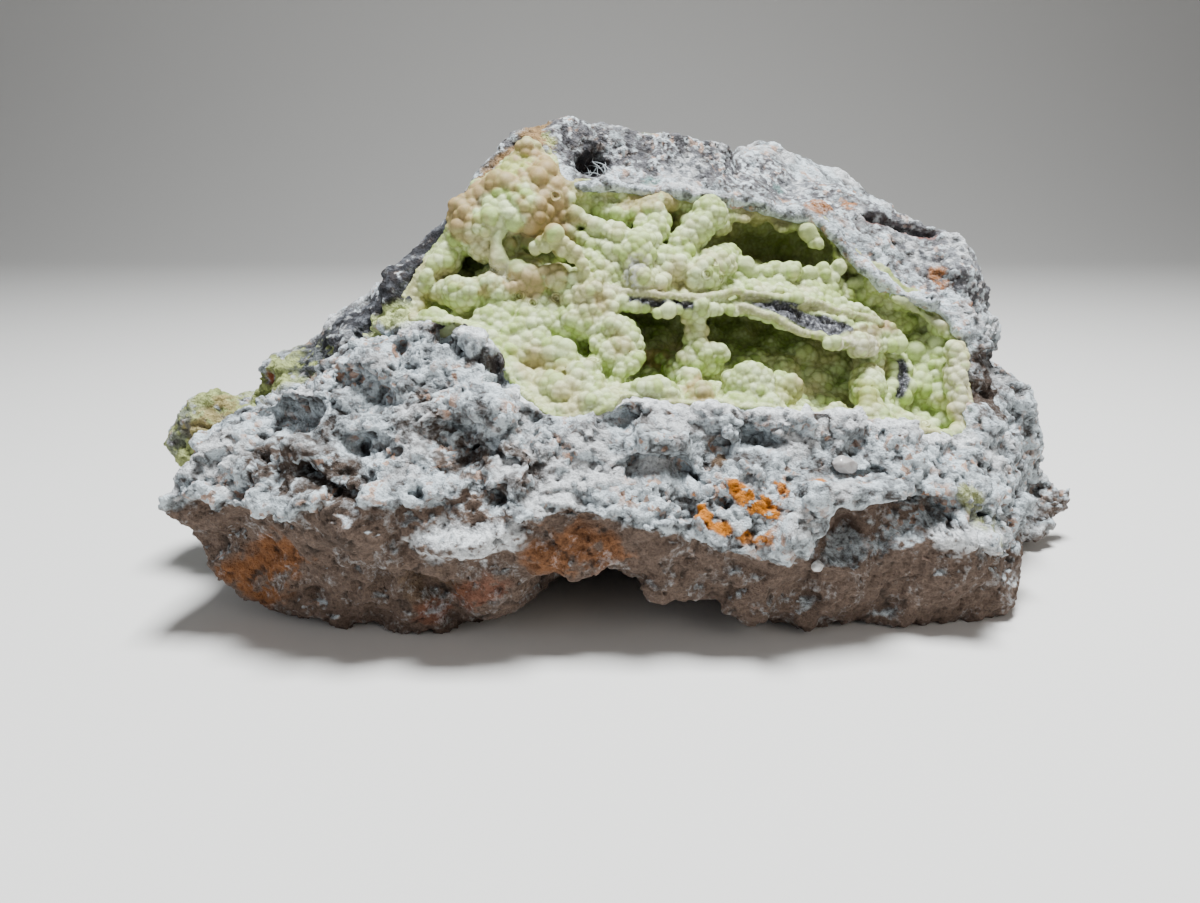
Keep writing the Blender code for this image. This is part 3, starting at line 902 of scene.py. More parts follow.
class Stain(Enum):
    """Colours that lie on the rock or the crust, by what makes them; some of them are also painted shade."""

    IRON_OCHRE = "C87A22"
    RUST = "86552F"
    RED_RUST = "8E4A2C"
    BROWN = "65523F"
    # Dark brown: partly grains, partly painted shade in recesses.
    DARK_BROWN_AND_SHADE = "40362F"
    GREEN_CRUST = "A6B070"
    # Near-black: dark grains, and painted shade in the pits and on the dark slope.
    DARK_GRAIN_AND_SHADE = "2A2A2E"
    SLATE = "66696F"
    COPPER_BLOOM = "8DB4AE"
    CHALK = "EEF2F4"
    # Brown of the underside, darker than its own colour: partly painted shade.
    UNDERSIDE_BROWN_AND_SHADE = "6C5B50"
    TAN_CRUST = "9C7D54"
    PALE_CRUST = "DEDDC4"
    LIME_CRUST = "A9B45C"
    PALE_LIME = "C4CF8C"

    @property
    def light(self) -> np.ndarray:
        """Its colour in linear light."""
        return np.array(linear(self.value))


@dataclass(frozen=True)
class StainPatch:
    """A stain and where it lies, in mm. Its grain is how finely it breaks up into specks, and fill how
    closely they stand."""

    stain: Stain
    path: tuple[Point, ...]
    radius: float
    strength: float = 1.0
    grain: float = 0.0
    fill: float = 1.1


def lay_stains(
    points: np.ndarray, patches: Sequence[StainPatch], colour: np.ndarray, cover: np.ndarray
) -> tuple[np.ndarray, np.ndarray]:
    """Lays stains over what is there.

    Args:
        points: Places in mm, one to a row.
        patches: The stains, the lowest first.
        colour: The colour at each point so far, in linear light.
        cover: How much it covers what is under it, from 0 to 1.

    Returns:
        The new colour and cover.
    """
    ragged = 1 + 0.45 * layered_noise(points, 4.0, 71)
    for patch in patches:
        share = smooth_step(-distance_to_path(points, patch.path) / (patch.radius * ragged), -1.25, -0.45)
        if patch.grain:
            specks = layered_noise(points, patch.grain, 73) + patch.fill * share
            share = share * smooth_step(specks, 0.35, 0.75)
        share = share * patch.strength
        colour = colour + (patch.stain.light - colour) * share[:, None]
        cover = np.maximum(cover, share)
    return colour, cover


# ---- the rock


@dataclass(frozen=True)
class Breakage:
    """How the rock breaks at one size: chips with tilted faces, steps between them and rounded tops.
    Size, tilt, step and dome are millimetres."""

    size: float
    tilt: float
    step: float
    dome: float
    seed: int

    def at(self, points: np.ndarray) -> tuple[np.ndarray, np.ndarray, np.ndarray]:
        """Breaks the rock at each point.

        Args:
            points: Places in mm, one to a row.

        Returns:
            The height of the face in mm, how far the point is from its chip's edge in chip sizes, and
            the chip's own number from 0 to 1.
        """
        near, after, own, within = grains(points, self.size, self.seed)
        lean = np.stack([(own * turn) % 1 - 0.5 for turn in (331, 577, 997)], axis=1)
        height = self.tilt * (within * lean).sum(1) + self.step * (own - 0.5)
        return height + self.dome * (domed(near) - 0.65), after - near, own


@dataclass(frozen=True)
class Touch:
    """A hollow, crevice, swelling or ledge of the rock's face, in mm."""

    path: tuple[Point, ...]
    radius: float
    push: Point


@dataclass(frozen=True)
class Block:
    """A block that stands out of the rock: its middle and size in mm, and its turn in degrees."""

    middle: Point
    size: Point
    turn: Point = (0.0, 0.0, 0.0)


@dataclass
class MatrixRock:
    """The specimen's rock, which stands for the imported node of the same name. A wander is noise: how far
    it moves a thing, the size of its features and which pattern it is."""

    voxel: float = 0.9
    seams_x: tuple[float, ...] = (-38.0, 18.0)
    seen_from: Point = (-10.0, -197.0, 90.0)
    shown_y: float = 24.0
    finish: Finish = SiliceousRock("siliceous_breccia_weathered")
    chips: tuple[Breakage, ...] = (Breakage(12.0, 5.0, 1.8, 0.3, 3), Breakage(5.2, 1.9, 0.8, 0.2, 7))
    crumbs: tuple[Breakage, ...] = (Breakage(2.6, 1.1, 0.6, 0.35, 31), Breakage(1.3, 0.45, 0.45, 0.5, 37))
    swells: tuple[float, float, int] = (1.5, 14.0, 5)
    chip_wander: tuple[float, float, int] = (1.6, 6.0, 80)
    crumb_wander: tuple[float, float, int] = (0.8, 2.2, 60)
    drift: float = 0.45
    pit_spacing: float = 6.5
    pit_share: float = 0.3
    pit_depth: float = 3.0
    calm_height: float = 60.0
    slope_x: float = -38.0
    base_height: float = 19.0
    calm_share: float = 0.32
    under_share: float = 0.55
    overhang: float = 3.0
    brow: float = 0.7
    box_slack: float = 0.8
    lap: tuple[float, float] = (0.1, 1.5)
    lap_grain: tuple[float, float] = (0.7, 1.3)
    lap_share: float = 0.4
    blocks: tuple[Block, ...] = (
        Block((1.5, -39.5, 40.5), (12.0, 8.5, 7.0), (8, 6, 12)),
        Block((-28, -45.5, 37.5), (4.6, 4.0, 3.6), (20, 10, 30)),
        Block((38, -43.5, 31.5), (20.0, 7.0, 4.5), (-14, 2, 8)),
        Block((-64, -40.5, 38.5), (13.0, 5.0, 4.0), (15, 22, 0)),
        Block((31, -40.5, 4.2), (6.0, 5.0, 5.0), (0, 45, 20)),
        Block((51.5, -36, 3.2), (5.0, 5.0, 5.0), (0, 40, 0)),
    )
    touches: tuple[Touch, ...] = (
        Touch(((-75, -32, 44), (-69, -35, 43)), 6.5, (1.0, 6.0, -1.5)),
        Touch(((-59, -33, 50), (-52, -35, 48.5)), 5.0, (0, 5.0, -1.5)),
        Touch(((-55, -41, 40),), 5.0, (0, 5.0, -1.0)),
        Touch(((-66, -44, 36), (-61, -47, 34), (-56, -49, 33)), 3.2, (0, 5.0, -1.0)),
        Touch(((-38, -41, 43), (-32, -43, 40.5)), 6.0, (0, 5.5, -1.5)),
        Touch(((-34, -45, 38), (-24, -47, 38)), 3.6, (0, 4.5, 0)),
        Touch(((-28, -51, 32.5),), 4.0, (0, 3.5, 0)),
        Touch(((-41, -25, 59.5),), 4.5, (0, 3.4, -1.6)),
        Touch(((-41, -49, 24), (-34, -50.5, 23.5), (-27, -50.5, 25)), 4.5, (0, -3.6, 0.6)),
        Touch(((58, -42, 22), (65, -40, 20.5), (71, -38, 20)), 4.0, (0, -3.0, 0.6)),
        Touch(((-86, -28, 40), (-78, -26, 45), (-70, -20, 50)), 4.5, (0, 1.5, -2.6)),
        Touch(((-64, -15, 57), (-55, -18, 60), (-48, -20, 62)), 4.0, (0, 1.0, -2.4)),
        Touch(((-38, -31, 56),), 2.6, (0, 3.2, -0.8)),
        Touch(((-50, -28, 57),), 2.4, (0.3, 4.0, -0.8)),
        Touch(((-31, -31, 53.5),), 2.5, (0, 2.6, -1.0)),
        Touch(((-91, -36, 32), (-93, -38, 27)), 7.5, (-1.6, -1.6, 0.4)),
        Touch(((-83, -42, 21),), 3.0, (0, 3.0, 0)),
        Touch(((-46, -50, 29), (-53, -43, 12)), 3.0, (0, 2.5, 0)),
        Touch(((-43, -46, 12),), 7.5, (0, 3.5, 0.4)),
        Touch(((-67, -42, 8),), 3.4, (0, 3.0, 0.4)),
        Touch(((-5, -38, 44.5),), 4.0, (0, 5.0, -1.0)),
        Touch(((-3, -43.5, 36.5), (6, -44, 36)), 3.6, (0, 4.5, 0.6)),
        Touch(((13, -40, 39),), 3.4, (0, 2.6, 0)),
        Touch(((18, -37, 41), (24, -38, 39.5)), 3.0, (0, 3.4, -0.8)),
        Touch(((33, -35, 43.5),), 2.6, (0, 2.6, 0)),
        Touch(((40, -37, 39.5),), 3.0, (0, 3.0, -0.5)),
        Touch(((38, -41, 34), (44, -41, 34)), 3.4, (0, 3.5, 0.5)),
        Touch(((36, -49, 23), (47, -46, 25), (56, -42, 26)), 6.5, (0, 6.5, 0.5)),
        Touch(((38, -48, 21.5),), 4.5, (0, 4.0, 0)),
        Touch(((69, -37, 20.5), (66, -38, 25)), 4.0, (-1.0, 4.0, 0)),
        Touch(((72, -18, 45), (82, -3, 49)), 7.5, (-2.6, 4.0, 0)),
        Touch(((98, 5, 12),), 5.0, (0, 5.0, 0)),
        Touch(((52, 9, 79.5), (60, 9, 77), (67, 9, 75.5)), 1.6, (0, 3.0, -1.0)),
        Touch(((-12, 4, 91),), 5.5, (0, 5.0, -1.0)),
    )
    eaves_wander: tuple[float, float, int] = (0.9, 4.5, 90)
    break_wanders: tuple[tuple[float, float, int], ...] = ((2.2, 11.0, 23), (1.5, 3.4, 24))
    break_line: tuple[tuple[float, float], ...] = (
        (-106, 26), (-88, 27), (-77, 30.5), (-67, 29), (-59, 33), (-44, 32.5), (-31, 34), (-25, 30),
        (-13, 32), (-5, 28), (6, 23.5), (19, 21), (31, 20.5), (35, 29), (48, 29.5), (57, 31), (60, 24),
        (68, 19.5), (78, 13),
    )
    front_y: float = -24.0
    eaves: tuple[Bead, ...] = (
        (-14, -5.5, 87.2, 1.4), (-9, -3, 86.7, 1.6), (-3, -3, 86, 1.6), (2, -2.5, 85.5, 1.5),
        (9, -1.5, 85, 1.6), (15, 0.5, 84.5, 1.6), (20, 2.5, 84, 1.6), (24, 4, 83, 1.6), (28, 4.5, 81.5, 1.6),
        (33, 4.5, 80.5, 1.7), (37, 4, 79.5, 1.7), (40, 3, 78.5, 1.7), (43, 3, 76, 1.7), (45, 1.5, 73, 1.6),
        (48, 0, 70.5, 1.7), (51, -2.5, 68, 1.8), (54, -3.5, 65.5, 1.8), (58.5, -4.5, 64, 1.7),
        (63, -4.5, 63, 1.6), (66.5, -5, 61, 1.6), (68, -7, 58, 1.6), (69.5, -9, 55, 1.6),
    )
    stains: tuple[StainPatch, ...] = (
        # Brown in the scoop under the arch: partly painted shade.
        StainPatch(Stain.BROWN, ((-43, -46, 12),), 7.0, 0.7, 1.5),
        StainPatch(Stain.SLATE, ((-28, 8, 95), (-5, 10, 95), (20, 12, 91), (45, 16, 86), (62, 12, 77),
                                 (72, 4, 66)),
                   13.0, 0.8, 1.1, 0.55),
        StainPatch(Stain.DARK_GRAIN_AND_SHADE, ((-28, 8, 95), (-5, 10, 95), (20, 12, 91)), 12.0, 0.8, 0.9, 0.15),
        StainPatch(Stain.SLATE, ((-45, 40, 60), (-10, 50, 66), (20, 48, 45)), 20.0, 0.6, 2.4, 0.5),
        StainPatch(Stain.BROWN, ((35, 50, 30), (70, 38, 30), (86, 20, 34)), 17.0, 0.6, 3.0, 0.55),
        StainPatch(Stain.RUST, ((-30, 50, 22), (-8, 52, 18)), 10.0, 0.5, 2.4, 0.5),
        # Dark brown in the front recesses: partly grains, partly painted shade.
        StainPatch(Stain.DARK_BROWN_AND_SHADE, ((-72, -38, 38), (-62, -42, 34), (-55, -46, 30)), 9.0, 0.75, 1.6, 0.75),
        StainPatch(Stain.DARK_BROWN_AND_SHADE, ((-45, -38, 44), (-36, -42, 39), (-24, -46, 38)), 7.0, 0.7, 1.6, 0.7),
        StainPatch(Stain.CHALK, ((-41, -49, 25), (-34, -51, 24), (-27, -51, 25.5)), 4.5, 0.9, 0.9),
        StainPatch(Stain.CHALK, ((58, -42, 22), (70, -40, 20)), 3.6, 0.8, 0.9),
        StainPatch(Stain.RUST, ((-79, -37, 8), (-83, -37, 11), (-72, -42, 18)), 5.5, 0.85, 2.5),
        StainPatch(Stain.RUST, ((-20, -51, 21), (-14, -51, 24), (-8, -50, 21)), 5.5, 0.75, 2.5),
        StainPatch(Stain.RED_RUST, ((-44, -43, 6), (-30, -47, 14)), 3.5, 0.4, 1.5),
        StainPatch(Stain.IRON_OCHRE, ((8.5, -46.5, 32), (9.5, -48, 28), (13, -49, 26.5)), 1.8, 1.0, 1.2),
        StainPatch(Stain.IRON_OCHRE, ((15.5, -46, 34.5), (18, -47.5, 31.5), (22, -48, 30)), 2.6, 1.0, 1.2),
        StainPatch(Stain.IRON_OCHRE, ((17, -49, 25), (22, -49, 25)), 1.6, 0.9, 1.0),
        StainPatch(Stain.IRON_OCHRE, ((24, -44, 34), (25, -44.5, 32)), 1.3, 0.8, 0.9),
        StainPatch(Stain.IRON_OCHRE, ((28, -44, 32), (32, -43, 33.5)), 1.4, 0.9, 0.9),
        StainPatch(Stain.BROWN, ((12, -39.5, 41), (13, -40, 38)), 2.6, 0.85, 1.2),
        StainPatch(Stain.BROWN, ((33, -35, 43.5),), 2.2, 0.85, 1.0),
        StainPatch(Stain.RED_RUST, ((-85, -6, 45),), 2.4, 0.9, 1.0),
        StainPatch(Stain.RED_RUST, ((-86, -34, 37.5),), 1.4, 0.9),
        StainPatch(Stain.RED_RUST, ((52, 9, 79), (60, 9, 77), (67, 9, 75)), 1.8, 0.6, 1.0),
        StainPatch(Stain.IRON_OCHRE, ((38, 5, 82), (41, 6, 82)), 2.4, 0.6, 1.0),
        StainPatch(Stain.IRON_OCHRE, ((48, 11, 82),), 2.6, 0.6, 1.0),
        StainPatch(Stain.IRON_OCHRE, ((66, 2, 68), (67, 1, 65)), 2.2, 0.6, 1.0),
        StainPatch(Stain.IRON_OCHRE, ((73, -4, 61),), 2.2, 0.6, 1.0),
        # Dark brown in the right recess and the cavern under the overhang: partly painted shade.
        StainPatch(Stain.DARK_BROWN_AND_SHADE, ((72, -18, 45), (84, -2, 49)), 8.0, 0.75, 2.0),
        StainPatch(Stain.DARK_BROWN_AND_SHADE, ((38, -48, 22),), 5.0, 0.6, 2.0),
        StainPatch(Stain.GREEN_CRUST, ((-103, -8, 28), (-97, -8, 37), (-88, -6, 41)), 13.0, 0.9, 2.6),
        StainPatch(Stain.GREEN_CRUST, ((-83, -8, 46), (-76, -7, 50), (-72, -6, 52)), 7.0, 0.9, 2.6),
        StainPatch(Stain.TAN_CRUST, ((-93, -9, 42), (-100, -10, 34)), 4.5, 0.6, 1.6),
        StainPatch(Stain.SLATE, ((-104, -10, 38), (-106, -8, 30)), 4.0, 0.7, 1.4),
        StainPatch(Stain.GREEN_CRUST, ((69, -37, 20.5), (66, -38, 25), (62, -38, 32)), 3.4, 0.7, 2.0),
        StainPatch(Stain.GREEN_CRUST, ((1, 14, 97),), 3.2, 0.6, 1.2),
        StainPatch(Stain.TAN_CRUST, ((-23, 7, 98.5), (-24, 4, 96), (-29, 2, 93.5), (-33, 1, 90.5),
                                     (-37, 0, 87)),
                   4.2, 0.9, 3.0),
        StainPatch(Stain.PALE_LIME, ((-21.5, 5, 97), (-20, 0, 91)), 1.6, 0.7, 1.0),
        # The dark slope and its specks: partly dark grains, partly painted shade.
        StainPatch(Stain.SLATE, ((-72, -6, 51), (-65, -6, 57), (-59, -7, 62), (-53, -13, 66), (-47, -10, 73),
                                 (-40, -2, 80)), 9.0, 0.95, 1.2, 0.95),
        StainPatch(Stain.DARK_GRAIN_AND_SHADE, ((-72, -6, 51), (-65, -6, 57), (-59, -7, 62), (-53, -13, 66), (-47, -10, 73)),
                   8.5, 0.9, 1.4, 0.62),
        StainPatch(Stain.PALE_LIME, ((-60, -13, 57), (-55, -17, 60), (-49, -20, 62.5)), 3.0, 0.95),
        StainPatch(Stain.DARK_GRAIN_AND_SHADE, ((-45, -9, 75), (-49, -8, 71)), 3.6, 0.95, 1.2),
        # Near-black in the pits: painted shade.
        StainPatch(Stain.DARK_GRAIN_AND_SHADE, ((-41, -25, 60),), 5.0, 0.95),
        StainPatch(Stain.DARK_GRAIN_AND_SHADE, ((-50, -28, 57.5),), 2.2, 0.8),
        StainPatch(Stain.DARK_GRAIN_AND_SHADE, ((-30, -29, 54),), 2.6, 0.8),
        StainPatch(Stain.DARK_GRAIN_AND_SHADE, ((-12, 6, 91),), 5.5, 0.9),
        StainPatch(Stain.COPPER_BLOOM, ((2, 1, 88),), 2.6, 0.6, 0.9),
        StainPatch(Stain.COPPER_BLOOM, ((32, 15, 86),), 2.4, 0.5, 0.9),
    )
    lip: tuple[Point, ...] = (
        (66, -26, 37), (57, -29, 39), (46, -32, 43), (35, -34, 45), (25, -35, 46), (15, -35, 47),
        (5, -35, 48), (-2, -35, 47), (-10, -35, 46), (-18, -34, 44), (-24, -33, 46), (-28, -33, 51),
        (-30, -31, 56), (-33, -30, 59), (-38, -28, 62), (-44, -26, 63), (-49, -23, 61), (-52, -19, 61),
    )

    def lapping(self, rock: bpy.types.Object, crust: BVHTree) -> bpy.types.Object:
        """Crumbs of rock along the vug's rim, which lap over the crust's broken edge.

        Args:
            rock: The rock as even squares.
            crust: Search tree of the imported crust.

        Returns:
            The crumbs.
        """
        points, outward = points_of(rock), outward_of(rock)
        number = lattice(np.arange(len(points))[:, None] * (1, 3, 7), 51)
        open_to_air = ~covered(points, outward, crust, 4.0)
        short, long = self.lap
        reach = short + (long - short) * smooth_step(soft_noise(points, 5.0, 52), -0.6, 0.6)
        fine, coarse = self.lap_grain
        beads = []
        for index in np.nonzero(open_to_air & (number < self.lap_share))[0]:
            found = crust.find_nearest(points[index] * MM, 1.5 * MM)
            if found[0] is not None:
                toward = np.array(found[0]) / MM - points[index]
                toward /= max(np.linalg.norm(toward), 0.1)
                size = fine + (coarse - fine) * (number[index] * 37 % 1)
                beads.append((*(points[index] + toward * reach[index] - 0.35 * size * outward[index]), size))
        return balls("lapping", np.array(beads))

    def blank(self, crust: BVHTree) -> bpy.types.Object:
        """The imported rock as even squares, with its blocks and its lapping edge.

        Args:
            crust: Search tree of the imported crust.

        Returns:
            The whole rock.
        """
        rock = fused(copy_of_node("rock", "matrix"), self.voxel)
        eaves = strung(self.eaves)
        far, size, seed = self.eaves_wander
        eaves[:, :3] += far * soft_drift(eaves[:, :3], size, seed)
        eaves[:, 3] *= 1 + 0.35 * soft_noise(eaves[:, :3], 2.6, 95)
        parts = [rock, self.lapping(rock, crust), balls("eaves", eaves)]
        for block in self.blocks:
            bpy.ops.object.select_all(action="DESELECT")
            bpy.ops.mesh.primitive_cube_add(
                size=1.0,
                location=Vector(block.middle) * MM,
                rotation=[math.radians(turn) for turn in block.turn],
                scale=Vector(block.size) * MM,
            )
            cube = bpy.context.object
            bpy.ops.object.transform_apply(location=True, rotation=True, scale=True)
            modified(cube, "BEVEL", width=0.2 * min(block.size) * MM, segments=2)
            parts.append(cube)
        rock = fused(joined("rock", parts), self.voxel)
        return modified(rock, "SMOOTH", factor=0.5, iterations=2)

    def bareness(self, rock: bpy.types.Object, crust: BVHTree) -> np.ndarray:
        """How far each vertex is clear of the crust, along a ragged edge.

        Args:
            rock: The whole rock.
            crust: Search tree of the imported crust.

        Returns:
            A number from 0 to 1 for each vertex.
        """
        points, outward = points_of(rock), outward_of(rock)
        gap = distance_to_faces(points, crust, 4.0)
        clear = smooth_step(gap * (1 + 0.45 * soft_noise(points, 3.0, 19)), 0.7, 2.2)
        return np.maximum(clear, 0.4 * ~covered(points, outward, crust, 6.0))

    def calmness(self, points: np.ndarray) -> np.ndarray:
        """How much of its relief the rock has at each point: less at the top and on its underside.

        Args:
            points: Places in mm, one to a row.

        Returns:
            A number from 0 to 1 for each point.
        """
        height = points[:, 2] + 0.35 * points[:, 1] + 0.45 * np.maximum(self.slope_x - points[:, 0], 0)
        top = 1 - (1 - self.calm_share) * smooth_step(height, self.calm_height, self.calm_height + 12)
        for block in self.blocks:
            away = np.linalg.norm(points - block.middle, axis=1) / max(block.size)
            top = top * (1 - 0.7 * smooth_step(-away, -0.75, -0.45))
        return np.where(self.below_break(points) > 0.5, np.minimum(top, self.under_share), top)

    def break_height(self, points: np.ndarray) -> np.ndarray:
        """Height in mm of the line where the face breaks back, across from each point."""
        across, heights = zip(*self.break_line)
        return np.interp(points[:, 0], across, heights)

    def below_break(self, points: np.ndarray) -> np.ndarray:
        """Whether each point of the front is under the line where the face breaks back.

        Args:
            points: Places in mm, one to a row.

        Returns:
            A number from 0 to 1 for each point.
        """
        line = self.break_height(points)
        for far, size, seed in self.break_wanders:
            line = line + far * layered_noise(points, size, seed)
        front = smooth_step(-points[:, 1], -self.front_y - 12, -self.front_y)
        return smooth_step(line - points[:, 2], -0.3, 1.2) * front

    def rough_hew(self, rock: bpy.types.Object, bare: np.ndarray) -> None:
        """Gives the rock its swells, ledges, chips, hollows and pits.

        Args:
            rock: The whole rock.
            bare: How far each vertex shows, from 0 behind the crust to 1.
        """
        points, outward = points_of(rock), outward_of(rock)
        far, size, seed = self.chip_wander
        wavy = points + far * soft_drift(points, size, seed)
        far, size, seed = self.swells
        height = far * layered_noise(points, size, seed)
        for breakage in self.chips:
            height += breakage.at(wavy)[0]
        hole, _, deep, _ = grains(points, self.pit_spacing, 21)
        height -= np.where(deep > 1 - self.pit_share, self.pit_depth * smooth_step(-hole, -0.36, -0.12), 0)
        moved = points + outward * (height * bare * self.calmness(points))[:, None]
        under = self.below_break(points)
        drop = self.break_height(points) - points[:, 2]
        strong = 0.55 + 0.6 * layered_noise(points, 13.0, 11)
        moved[:, 1] += self.overhang * strong * under * smooth_step(-drop, -20.0, -6.0)
        brow = self.brow * strong * (1 - under) * smooth_step(drop, -5.0, -0.5)
        moved[:, 1] -= brow * (points[:, 1] < self.front_y)
        ragged = 1 + 0.4 * layered_noise(points, 5.0, 13)
        for touch in self.touches:
            share = smooth_step(-distance_to_path(points, touch.path) / (touch.radius * ragged), -1.0, -0.3)
            moved += (share * bare)[:, None] * np.array(touch.push)
        move_points(rock, self.kept_in(moved))
        modified(rock, "SMOOTH", factor=0.5, iterations=1)

    def kept_in(self, points: np.ndarray) -> np.ndarray:
        """Keeps points above the ground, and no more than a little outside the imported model's box."""
        low, high = (np.array(corner) / MM for corner in CAD_BOX)
        return np.clip(points, low - (self.box_slack, self.box_slack, 0.0), high + self.box_slack)

    def divide_what_shows(self, rock: bpy.types.Object, bare: np.ndarray) -> None:
        """Divides the faces that show from the front once more.

        Args:
            rock: The whole rock.
            bare: How far each vertex shows.
        """
        centres = vectors_of(rock.data.polygons, "center") / MM
        facing = vectors_of(rock.data.polygons, "normal")
        shown = np.array([min(bare[i] for i in p.vertices) > 0.3 for p in rock.data.polygons])
        to_eye = np.array(self.seen_from) - centres
        to_eye /= np.linalg.norm(to_eye, axis=1)[:, None]
        shown &= ((facing * to_eye).sum(1) > -0.1) & (centres[:, 1] < self.shown_y)
        rock.data.vertices.foreach_set("select", np.zeros(len(rock.data.vertices), bool))
        rock.data.edges.foreach_set("select", np.zeros(len(rock.data.edges), bool))
        rock.data.polygons.foreach_set("select", shown)
        bpy.context.tool_settings.mesh_select_mode = (False, False, True)
        with editing(rock):
            bpy.ops.mesh.subdivide(number_cuts=1)

    def crumble(self, rock: bpy.types.Object, bare: np.ndarray) -> None:
        """Breaks the face up into crumbs, and keeps their tones and the dark between them: dirt and painted
        shade.

        Args:
            rock: The whole rock.
            bare: How far each vertex shows.
        """
        points, outward = points_of(rock), outward_of(rock)
        far, size, seed = self.crumb_wander
        drift = soft_drift(points, size, seed)
        wavy = points + far * drift
        height = np.zeros(len(points))
        tone = np.zeros(len(points))
        cracks = np.zeros(len(points))
        for breakage in self.crumbs:
            rise, edge, own = breakage.at(wavy)
            height += rise
            # A crumb's tone goes with its own step in height, so sunken crumbs come out darker: partly
            # painted shade.
            tone += breakage.step * own
            cracks = np.maximum(cracks, breakage.dome * (1 - smooth_step(edge, 0.0, 0.3)))
        tone /= sum(breakage.step for breakage in self.crumbs)
        calm = bare * self.calmness(points) ** 0.6
        moved = points + outward * (height * calm)[:, None] + drift * (self.drift * calm)[:, None]
        move_points(rock, self.kept_in(moved))
        # Dark in the cracks and the low spots: dirt and painted shade.
        low_spots = smooth_step(-height, 0.15, 0.8)
        write_values(rock, "tone", tone)
        write_values(rock, "hollow", np.clip(0.4 * cracks + 0.9 * low_spots, 0, 1) * bare)

    def stain(self, rock: bpy.types.Object) -> None:
        """Lays the stains on the rock, with the brown underside partly painted shade and the chalk on faces
        that look up partly painted top light.

        Args:
            rock: The whole rock.
        """
        points, outward = points_of(rock), outward_of(rock)
        # Underside brown below the break and along the bottom, kept off faces that look up: partly real
        # brown, partly painted shade.
        colour = np.tile(Stain.UNDERSIDE_BROWN_AND_SHADE.light, (len(points), 1))
        lit = smooth_step(outward[:, 2], 0.35, 0.8)
        broken = smooth_step(layered_noise(points, 3.0, 77), -0.5, 0.3)
        base_line = self.base_height + 7 * layered_noise(points, 15.0, 78)
        base = 0.7 * smooth_step(base_line - points[:, 2], 0.0, 9.0)
        under = np.maximum(self.below_break(points), base)
        cover = under * (1 - 0.85 * lit) * (0.68 + 0.27 * broken)
        # Chalk on the lip's top and dust on faces that look up, not under the break: partly real chalk,
        # partly painted top light.
        chalky = 0.9 * smooth_step(-distance_to_path(points, self.lip), -3.0, -1.2)
        chalky = chalky * smooth_step(outward[:, 2], 0, 0.4)
        dust_and_top_light = 0.75 * smooth_step(layered_noise(points, 9.0, 75), 0.1, 0.7)
        dust_and_top_light = dust_and_top_light * smooth_step(outward[:, 2], 0.0, 0.5)
        chalky = np.maximum(chalky, dust_and_top_light * (1 - self.below_break(points)))
        colour += (Stain.CHALK.light - colour) * chalky[:, None]
        colour, cover = lay_stains(points, self.stains, colour, np.maximum(cover, chalky))
        write_values(rock, "stain", np.column_stack((colour, cover)))

    def build(self) -> list[bpy.types.Object]:
        """Builds and dresses the rock.

        Returns:
            Its pieces from left to right.
        """
        crust = tree_of(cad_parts["wavellite_crust"])
        rock = self.blank(crust)
        self.rough_hew(rock, self.bareness(rock, crust))
        self.divide_what_shows(rock, self.bareness(rock, crust))
        self.crumble(rock, self.bareness(rock, crust))
        self.stain(rock)
        write_values(rock, "outward", outward_of(rock))
        node = "matrix"
        return [finished(shaded(piece), self.finish, node, node) for piece in sliced(rock, self.seams_x)]


# ---- the crust


# Where the two lips of the crust's shelf run, in mm.
UPPER_LIP = ((-10, -16.5, 67), (8, -17, 65), (19, -13.5, 65.4), (38, -11.5, 62.3), (51, -9, 58.4))
LOWER_LIP = ((20, -15.5, 62.6), (32, -18, 58), (43, -17, 55))


@dataclass(frozen=True)
class BallPatch:
    """Where the wavellite grew in balls of its own size, in mm."""

    path: tuple[Point, ...]
    reach: float
    radius: float
    rise: float


@dataclass(frozen=True)
class Growth:
    """A stem, knob, ridge or lip of the crust, as beads in mm that run together. A smooth one carries no
    balls, and ridges is how many ridges run along it."""

    beads: tuple[Bead, ...]
    smooth: bool = False
    ridges: int = 1


